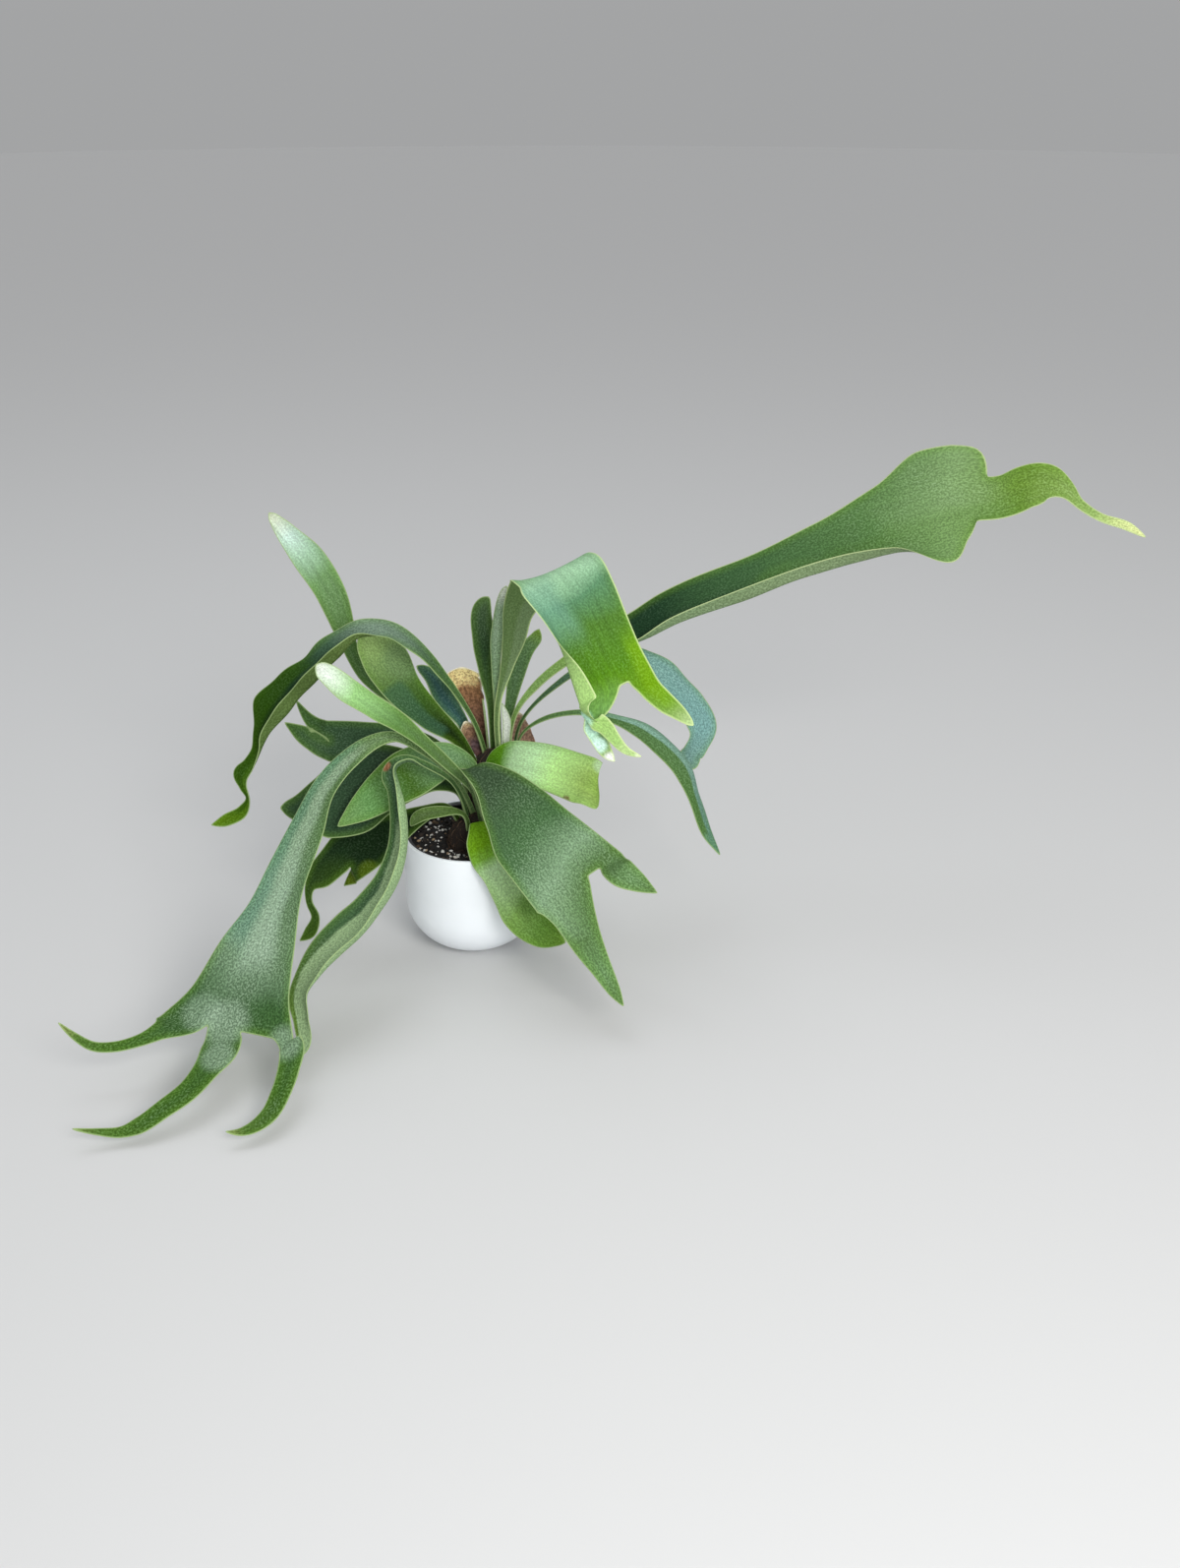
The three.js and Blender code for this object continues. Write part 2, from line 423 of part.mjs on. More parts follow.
// The old leaf bases at the crown: brown, papery, and cupped round it
const SHIELDS = {
  "shield_tall": {
    "rows": [
      [14, 49, 134, 5, 5, 0, -1, 0.1, 30, 30],
      [8, 50, 180, 6, 6, 0, -1, 0.1, 60, 60],
      [3, 51, 205, 10, 11, 0, -1, 0.1, 60, 60],
      [-3, 51, 228, 15, 16, 0, -1, 0.05, 60, 60],
      [-7, 49, 240, 18, 19, 0, -0.97, -0.2, 55, 55],
      [-7, 46, 248, 17, 18, 0, -0.9, -0.4, 50, 36]],
    "wave": [1.4, 15, 0], "tip": 0.15, "columns": 8},
  "shield_curled": {
    "rows": [
      [9, 34, 158, 3, 3, 0, -1, 0.1, 20, 20],
      [5, 36, 175, 7, 6, 0, -1, 0.2, 60, 60],
      [-1, 37, 187, 11, 9, 0, -0.9, 0.4, 80, 70],
      [-6, 37, 199, 10, 8, 0, -0.8, 0.5, 80, 70]],
    "wave": [1.3, 10, 0], "tip": 0.5, "columns": 6},
  "shield_low": {
    "rows": [
      [33, 45, 138, 7, 7, 0.1, -1, 0.1, 10, 10],
      [45, 50, 163, 13, 13, 0.1, -1, 0.1, 30, 30],
      [44, 52, 184, 9, 9, 0.1, -1, 0.1, 30, 30],
      [39, 51, 203, 4, 4, 0.1, -1, 0.1, 20, 20]],
    "wave": [1.2, 11, 0], "tip": 1, "columns": 6}
};

// The youngest fronds, still white with felt
const YOUNG = {
  "young_frond_rear": {
    "rows": [
      [31, 26, 160, 2.2, 2.2, 0, -1, 0.1, 20, 20],
      [32, 23, 190, 4, 4, 0, -1, 0.1, 40, 40],
      [33, 21, 206, 4.2, 4.2, 0, -1, 0.1, 40, 40],
      [29, 20, 224, 0.8, 0.8, 0, -1, 0.1, 20, 20]],
    "columns": 4},
  "young_stalk_rear": {
    "rows": [
      [15, 37, 162, 1.2, 1.2, 0, -1, 0.1, 10, 10],
      [13, 36, 198, 1.1, 1.1, 0, -1, 0.1, 10, 10],
      [11, 35, 222, 0.8, 0.8, 0, -1, 0.1, 10, 10]],
    "columns": 2},
  "young_bud_front": {
    "rows": [
      [19, -10, 114, 1.8, 1.8, 0, -1, 0.1, 20, 20],
      [19, -11, 132, 3, 3, 0, -1, 0.1, 40, 40],
      [18, -11, 147, 0.8, 0.8, 0, -1, 0.1, 20, 20]],
    "columns": 4}
};

// Materials by sub-part
function finish(color, roughness) {
  return new THREE.MeshStandardMaterial({ color, roughness, metalness: 0 });
}
const GREEN = finish(0x3f6b3a, 0.55);
const PALE_GREEN = finish(0x8fae5c, 0.55);
const FELT = finish(0xdfe6cf, 0.7);
const PAPER = finish(0x8a5a3a, 0.8);
const WHITE_GLAZE = finish(0xf2f2f2, 0.25);
const BLACK_PLASTIC = finish(0x15161a, 0.45);
const DARK_SOIL = finish(0x1d1713, 0.95);
const ROOTS = finish(0x5b3d28, 0.9);
const PALE_FRONDS = new Set(["frond_pale_right", "frond_bright_left", "frond_arching_front", "frond_lower_front"]);

// Vectors as plain arrays of three numbers
const add = (a, b) => a.map((v, i) => v + b[i]);
const sub = (a, b) => a.map((v, i) => v - b[i]);
const times = (a, k) => a.map((v) => v * k);
const dot = (a, b) => a[0] * b[0] + a[1] * b[1] + a[2] * b[2];
const cross = (a, b) => [a[1] * b[2] - a[2] * b[1], a[2] * b[0] - a[0] * b[2], a[0] * b[1] - a[1] * b[0]];
const size = (a) => Math.sqrt(dot(a, a));
const unit = (a) => times(a, 1 / Math.max(size(a), 1e-9));
const mix = (a, b, k) => a.map((v, i) => v * (1 - k) + b[i] * k);
const mean = (list) => times(list.reduce(add), 1 / list.length);
const limit = (v, low, high) => Math.min(high, Math.max(low, v));
const ease = (k) => k * k * (3 - 2 * k);

// Slopes at the rows for one column of numbers: free ones for places, level ones for widths and angles
function slopes(at, values, level) {
  const gap = at.slice(1).map((v, i) => v - at[i]);
  const rise = gap.map((d, i) => (values[i + 1] - values[i]) / d);
  const last = values.length - 1;
  const out = values.map((v, i) => {
    if (i === 0 || i === last) {
      return 0;
    }
    if (!level) {
      return (rise[i - 1] * gap[i] + rise[i] * gap[i - 1]) / (gap[i - 1] + gap[i]);
    }
    if (rise[i - 1] * rise[i] <= 0) {
      return 0;
    }
    const before = 2 * gap[i] + gap[i - 1];
    const after = gap[i] + 2 * gap[i - 1];
    return (before + after) / (before / rise[i - 1] + after / rise[i]);
  });
  out[0] = level || last === 1 ? rise[0] : 1.5 * rise[0] - 0.5 * out[1];
  out[last] = level || last === 1 ? rise[last - 1] : 1.5 * rise[last - 1] - 0.5 * out[last - 1];
  return out;
}

// Value and slope, at distance q, of the smooth curve through the values at the given distances
function follow(at, values, slope, q) {
  let k = 0;
  while (k < at.length - 2 && q > at[k + 1]) {
    k += 1;
  }
  const d = at[k + 1] - at[k];
  const x = (q - at[k]) / d;
  const value = values[k] * (1 + 2 * x) * (1 - x) ** 2 + slope[k] * d * x * (1 - x) ** 2
    + values[k + 1] * x * x * (3 - 2 * x) + slope[k + 1] * d * x * x * (x - 1);
  const tilt = ((values[k] - values[k + 1]) * 6 * x * (x - 1)) / d + slope[k] * (1 - x) * (1 - 3 * x)
    + slope[k + 1] * x * (3 * x - 2);
  return [value, tilt];
}

// Turn at share x of a half blade: it grows as a power of x, or between two shares where bend is a pair
function turnAt(cup, x, bend) {
  return cup * (Array.isArray(bend) ? ease(limit((x - bend[0]) / (bend[1] - bend[0]), 0, 1)) : x ** bend);
}

// Sideways and upward reach, and turn, at share x of a half blade whose margin turns up by cup
function section(width, cup, x, bend) {
  const steps = 16;
  let out = 0;
  let up = 0;
  for (let i = 0; i < steps; i += 1) {
    const turn = turnAt(cup, (x * (i + 0.5)) / steps, bend);
    out += Math.cos(turn);
    up += Math.sin(turn);
  }
  return [(width * x * out) / steps, (width * x * up) / steps, turnAt(cup, x, bend)];
}

// Rows of points and normals over one blade or lobe, and the distance of each row along it.
// A lobe starts level with the face that carries it.
function strip(rows, spacing, shares, style, levelStart) {
  const places = rows.map((r) => r.slice(0, 3));
  const at = [0];
  for (let i = 1; i < rows.length; i += 1) {
    at.push(at[i - 1] + size(sub(places[i], places[i - 1])));
  }
  const length = at[at.length - 1];
  const columns = rows[0].map((_, c) => rows.map((r) => r[c]));
  const slope = columns.map((values, c) => slopes(at, values, c > 2));
  if (levelStart) {
    const rise = slope[0][0] * levelStart[0] + slope[1][0] * levelStart[1] + slope[2][0] * levelStart[2];
    levelStart.forEach((v, c) => {
      slope[c][0] -= v * rise;
    });
  }
  const stops = [0];
  for (let i = 1; i < at.length; i += 1) {
    const count = Math.max(1, Math.round((at[i] - at[i - 1]) / spacing));
    for (let k = 1; k <= count; k += 1) {
      stops.push(at[i - 1] + ((at[i] - at[i - 1]) * k) / count);
    }
  }
  const lastRow = rows[rows.length - 1];
  const rounding = Math.max(lastRow[3] + lastRow[4], 0.5) * 0.5 * style.tip;
  const [swing, period, phase] = style.wave;
  const points = [];
  const normals = [];
  for (const q of stops) {
    const here = columns.map((values, c) => follow(at, values, slope[c], q));
    const middle = here.slice(0, 3).map((h) => h[0]);
    const along = unit(here.slice(0, 3).map((h) => h[1]));
    const side = unit(cross(along, unit(here.slice(5, 8).map((h) => h[0]))));
    const face = cross(side, along);
    const near = style.tip > 0 ? limit((q - (length - rounding)) / rounding, 0, 1) : 0;
    const shrink = Math.sqrt(Math.max(1 - near ** 2, 0.04));
    const half = [here[3][0] * shrink, here[4][0] * shrink].map((h) => Math.max(h, 0.4));
    const cup = [here[8][0], here[9][0]].map(THREE.MathUtils.degToRad);
    const fullness = Math.min(1, (half[0] + half[1]) / 40);
    const row = [];
    const rowNormals = [];
    for (const share of shares) {
      const right = share >= 0 ? 1 : 0;
      const sign = right ? 1 : -1;
      const x = Math.abs(share);
      const [out, up, turn] = section(half[right], cup[right], x, style.bend[right]);
      const normal = sub(times(face, Math.cos(turn)), times(side, sign * Math.sin(turn)));
      const lag = share > 0 ? 1.3 : 0;
      const ripple = swing * fullness * x * x * Math.sin((2 * Math.PI * q) / period + phase + lag);
      row.push(add(add(add(middle, times(side, sign * out)), times(face, up)), times(normal, ripple)));
      rowNormals.push(normal);
    }
    points.push(row);
    normals.push(rowNormals);
  }
  return { points, normals, stops, length };
}

// The middle surface of a blade with all its lobes: points, normals, distance from its foot, and quads
function surface(blade, spacing) {
  const found = { points: [], normals: [], reach: [], quads: [] };

  function lay(grid, from, before) {
    const ids = [];
    for (let i = from; i < grid.points.length; i += 1) {
      ids.push(grid.points[i].map((p, j) => {
        found.points.push(p);
        found.normals.push(grid.normals[i][j]);
        found.reach.push(before + grid.stops[i]);
        return found.points.length - 1;
      }));
    }
    return ids;
  }

  function fill(ids) {
    for (let i = 1; i < ids.length; i += 1) {
      for (let j = 1; j < ids[i].length; j += 1) {
        found.quads.push([ids[i - 1][j - 1], ids[i - 1][j], ids[i][j], ids[i][j - 1]]);
      }
    }
  }

  function grow(piece, rootPoints, rootNormals, rootIds, before) {
    const count = rootIds.length - 1;
    for (const lobe of piece.lobes ?? []) {
      const first = Math.round(((lobe.from[0] + 1) / 2) * count);
      const last = Math.max(first + 1, Math.round(((lobe.from[1] + 1) / 2) * count));
      const n = last - first;
      const root = rootPoints.slice(first, last + 1);
      const faces = rootNormals.slice(first, last + 1);
      const low = Math.floor(n / 2);
      const middle = mean([root[low], root[n - low]]);
      let half = 0;
      for (let j = 1; j <= n; j += 1) {
        half += size(sub(root[j], root[j - 1])) / 2;
      }
      const face = unit(mean(faces));
      const start = [...middle, half, half, ...face, 0, 0];
      const shares = root.map((_, j) => (2 * j) / n - 1);
      const style = styleOf(lobe);
      const grid = strip([start, ...lobe.rows], spacing, shares, style, face);
      const join = lobe.blend ?? LOBE_JOIN;
      grid.points = grid.points.map((row, i) => {
        const k = ease(limit(grid.stops[i] / join, 0, 1));
        const centre = mean([row[low], row[n - low]]);
        return row.map((p, j) => add(centre, mix(sub(root[j], middle), sub(p, centre), k)));
      });
      grid.normals = grid.normals.map((row, i) => {
        const k = ease(limit(grid.stops[i] / join, 0, 1));
        return row.map((normal, j) => unit(mix(faces[j], normal, k)));
      });
      const ids = [rootIds.slice(first, last + 1), ...lay(grid, 1, before)];
      fill(ids);
      const end = grid.points.length - 1;
      grow(lobe, grid.points[end], grid.normals[end], ids[ids.length - 1], before + grid.length);
    }
  }

  function styleOf(piece) {
    return {
      wave: piece.wave ?? [0, 60, 0],
      bend: piece.bend ?? [1, 1],
      tip: piece.lobes ? 0 : piece.tip ?? 1.6,
    };
  }

  const count = blade.columns ?? 6;
  const shares = Array.from({ length: count + 1 }, (_, j) => (2 * j) / count - 1);
  const main = strip(blade.rows, spacing, shares, styleOf(blade));
  const ids = lay(main, 0, 0);
  fill(ids);
  const end = main.points.length - 1;
  grow(blade, main.points[end], main.normals[end], ids[ids.length - 1], main.length);
  return found;
}

// A closed solid around a middle surface, thick near its foot and thin further out
function thicken(found, thin, thick, thickLength, extra) {
  const count = found.points.length;
  const positions = [];
  for (const side of [1, -1]) {
    found.points.forEach((p, i) => {
      const k = 1 - ease(limit(found.reach[i] / thickLength, 0, 1));
      const half = (thin + (thick - thin) * k + extra) / 2;
      positions.push(...add(p, times(found.normals[i], side * half)));
    });
  }
  const faces = [];
  const edges = new Map();
  for (const [a, b, c, d] of found.quads) {
    faces.push(a, b, c, a, c, d);
    faces.push(a + count, c + count, b + count, a + count, d + count, c + count);
    for (const [m, n] of [[a, b], [b, c], [c, d], [d, a]]) {
      edges.set(`${m},${n}`, [m, n]);
    }
  }
  for (const [m, n] of edges.values()) {
    if (!edges.has(`${n},${m}`)) {
      faces.push(m, m + count, n + count, m, n + count, n);
    }
  }
  return { positions, faces };
}

// A manifold-3d solid from positions and faces, turned the right way out
function toManifold({ positions, faces }) {
  const make = (list) => new Manifold(new Mesh({
    numProp: 3,
    vertProperties: Float32Array.from(positions),
    triVerts: Uint32Array.from(list),
  }));
  const solid = make(faces);
  if (solid.volume() > 0) {
    return solid;
  }
  const turned = [];
  for (let i = 0; i < faces.length; i += 3) {
    turned.push(faces[i], faces[i + 2], faces[i + 1]);
  }
  return make(turned);
}

function toGeometry(solid) {
  const mesh = solid.getMesh();
  const geometry = new THREE.BufferGeometry();
  const positions = [];
  for (let i = 0; i < mesh.vertProperties.length; i += mesh.numProp) {
    positions.push(mesh.vertProperties[i], mesh.vertProperties[i + 1], mesh.vertProperties[i + 2]);
  }
  geometry.setAttribute("position", new THREE.Float32BufferAttribute(positions, 3));
  geometry.setIndex(Array.from(mesh.triVerts));
  geometry.computeVertexNormals();
  return geometry;
}

function named(name, geometry, material) {
  const mesh = new THREE.Mesh(geometry, material);
  mesh.name = name;
  return mesh;
}

// A turned solid about +Z from a closed outline of radius and height pairs
function turned(outline) {
  const points = outline.map(([radius, height]) => new THREE.Vector2(radius, height));
  const geometry = new THREE.LatheGeometry(points, ROUND_STEPS);
  geometry.rotateX(Math.PI / 2);
  return geometry;
}

// White pot: a straight side over a bowl-like foot that is cut flat to stand on
const FOOT_CENTRE_RADIUS = POT_RADIUS - FOOT_CURVE;
const FOOT_CENTRE_HEIGHT = FOOT_CURVE - FOOT_SUNK;

function footArc(radius, floor, steps) {
  const start = Math.acos((FOOT_CENTRE_HEIGHT - floor) / radius);
  const out = [];
  for (let i = 0; i <= steps; i += 1) {
    const angle = start + ((Math.PI / 2 - start) * i) / steps;
    const height = i === 0 ? floor : FOOT_CENTRE_HEIGHT - radius * Math.cos(angle);
    out.push([FOOT_CENTRE_RADIUS + radius * Math.sin(angle), height]);
  }
  return out;
}

function makePot() {
  const inner = POT_RADIUS - POT_LIP;
  return turned([
    [0, 0],
    ...footArc(FOOT_CURVE, 0, 7),
    [POT_RADIUS, POT_HEIGHT - POT_EDGE],
    [POT_RADIUS - POT_EDGE, POT_HEIGHT],
    [inner + POT_EDGE, POT_HEIGHT],
    [inner, POT_HEIGHT - POT_EDGE],
    ...footArc(FOOT_CURVE - POT_LIP, POT_FLOOR, 5).reverse(),
    [0, POT_FLOOR],
  ]);
}

// Black nursery pot inside it, which holds the soil
const LINER_TOP = POT_HEIGHT - LINER_DROP;
const LINER_FOOT = POT_FLOOR + GAP;
const LINER_RIM_RADIUS = POT_RADIUS - POT_LIP - LINER_PLAY;
const LINER_TOP_RADIUS = LINER_RIM_RADIUS - 1;

function linerInnerRadius(height) {
  const share = (height - LINER_FOOT) / (LINER_TOP - LINER_FOOT);
  return LINER_FOOT_RADIUS - LINER_WALL + (LINER_TOP_RADIUS - LINER_FOOT_RADIUS) * share;
}

function makeLiner() {
  return turned([
    [0, LINER_FOOT],
    [LINER_FOOT_RADIUS, LINER_FOOT],
    [LINER_TOP_RADIUS, LINER_TOP - LINER_LIP],
    [LINER_RIM_RADIUS, LINER_TOP - LINER_LIP],
    [LINER_RIM_RADIUS, LINER_TOP],
    [linerInnerRadius(LINER_TOP), LINER_TOP],
    [linerInnerRadius(LINER_FOOT + LINER_WALL), LINER_FOOT + LINER_WALL],
    [0, LINER_FOOT + LINER_WALL],
  ]);
}

function makeSoil() {
  const foot = LINER_FOOT + LINER_WALL + GAP;
  const edge = SOIL_LEVEL - SOIL_DIP;
  return turned([
    [0, foot],
    [linerInnerRadius(foot) - GAP, foot],
    [linerInnerRadius(edge) - GAP, edge],
    [SOIL_FLAT_RADIUS, SOIL_LEVEL],
    [0, SOIL_LEVEL],
  ]);
}

// The mound of old roots that the fronds stand in: a low front lump and a tall rear one, sitting on the soil
const LUMPS = [
  { centre: [4, -8, 100], radii: [26, 24, 28] },
  { centre: [19, 27, 128], radii: [25, 24, 48] },
];

function makeMound(sockets) {
  const lumps = LUMPS.map(({ centre, radii }) => Manifold.sphere(1, 18).scale(radii).translate(centre));
  const seat = SOIL_LEVEL + GAP;
  const whole = Manifold.union(lumps).trimByPlane([0, 0, 1], seat);
  return whole.subtract(Manifold.union(sockets));
}

// The hole that a stem stands in: the stem's own foot with a little play
function makeSocket(blade) {
  const [first, second] = blade.rows;
  const back = times(unit(sub(first.slice(0, 3), second.slice(0, 3))), SOCKET_PLAY);
  const widen = (row, shift) => [
    ...add(row.slice(0, 3), shift), row[3] + SOCKET_PLAY, row[4] + SOCKET_PLAY, ...row.slice(5),
  ];
  const rows = [widen(first, back), ...blade.rows.slice(1, 5).map((row) => widen(row, [0, 0, 0]))];
  const thick = blade.thick ?? PETIOLE;
  const piece = { rows, columns: 4, wave: [0, 60, 0], bend: blade.bend, tip: 0 };
  const whole = toManifold(thicken(surface(piece, ROW_SPACING), thick, thick, 1, 2 * SOCKET_PLAY));
  return whole.trimByPlane(unit(back), dot(unit(back), first.slice(0, 3)) - SOCKET_REACH);
}

function makeBlade(blade, thin) {
  return toManifold(thicken(surface(blade, ROW_SPACING), thin, blade.thick ?? PETIOLE, PETIOLE_LENGTH, 0));
}

const fern = new THREE.Group();
fern.add(named("pot", makePot(), WHITE_GLAZE));
fern.add(named("nursery_pot", makeLiner(), BLACK_PLASTIC));
fern.add(named("soil", makeSoil(), DARK_SOIL));
const stems = [...Object.values(FRONDS), ...Object.values(SHIELDS), ...Object.values(YOUNG)];
fern.add(named("root_mound", toGeometry(makeMound(stems.map(makeSocket))), ROOTS));
for (const [name, blade] of Object.entries(FRONDS)) {
  fern.add(named(name, toGeometry(makeBlade(blade, BLADE)), PALE_FRONDS.has(name) ? PALE_GREEN : GREEN));
}
for (const [name, blade] of Object.entries(SHIELDS)) {
  fern.add(named(name, toGeometry(makeBlade(blade, SHIELD)), PAPER));
}
for (const [name, blade] of Object.entries(YOUNG)) {
  fern.add(named(name, toGeometry(makeBlade(blade, BLADE)), FELT));
}

export default fern;
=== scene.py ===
"""A staghorn fern in a white pot: leaves, roots, soil, pots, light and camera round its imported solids.
Lengths in the blade tables are millimetres, as on the solids. Blender's own are metres."""
import math
import random

import bmesh
import bpy
import numpy as np
from mathutils import Euler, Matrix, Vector, noise


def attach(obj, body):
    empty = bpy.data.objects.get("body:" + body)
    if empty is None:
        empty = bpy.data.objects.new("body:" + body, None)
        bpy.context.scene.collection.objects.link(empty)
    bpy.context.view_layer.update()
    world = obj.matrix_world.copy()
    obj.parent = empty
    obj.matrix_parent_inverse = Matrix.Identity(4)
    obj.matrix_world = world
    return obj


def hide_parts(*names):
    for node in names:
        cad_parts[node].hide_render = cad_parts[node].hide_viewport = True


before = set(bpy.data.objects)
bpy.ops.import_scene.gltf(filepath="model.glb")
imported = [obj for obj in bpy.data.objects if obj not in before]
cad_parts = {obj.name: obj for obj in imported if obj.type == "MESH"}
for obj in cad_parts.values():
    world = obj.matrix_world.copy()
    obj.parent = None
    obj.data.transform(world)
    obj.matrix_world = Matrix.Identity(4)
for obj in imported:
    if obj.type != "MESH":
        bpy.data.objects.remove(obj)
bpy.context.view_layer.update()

MM = 0.001
SEED = 7

# Sizes that the rest follows from, in millimetres
POT_RADIUS = 62.5
POT_HEIGHT = 108.0
POT_LIP = 3.5
POT_FLOOR = 6.0
POT_EDGE = 1.0
FOOT_CURVE = 46.5
FOOT_SUNK = 3.0
LINER_WALL = 1.4
LINER_DROP = 2.0
LINER_LIP = 3.0
LINER_EDGE = 0.7
LINER_PLAY = 0.6
LINER_FOOT_RADIUS = 36.0
SOIL_LEVEL = 99.0
GAP = 0.35
BLADE = 1.0
PETIOLE = 3.2
PETIOLE_LENGTH = 45.0
SHIELD = 0.9
LOBE_JOIN = 9.0
LUMPS = [
    {"centre": (4, -8, 100), "radii": (26, 24, 28)},
    {"centre": (19, 27, 128), "radii": (25, 24, 48)},
]

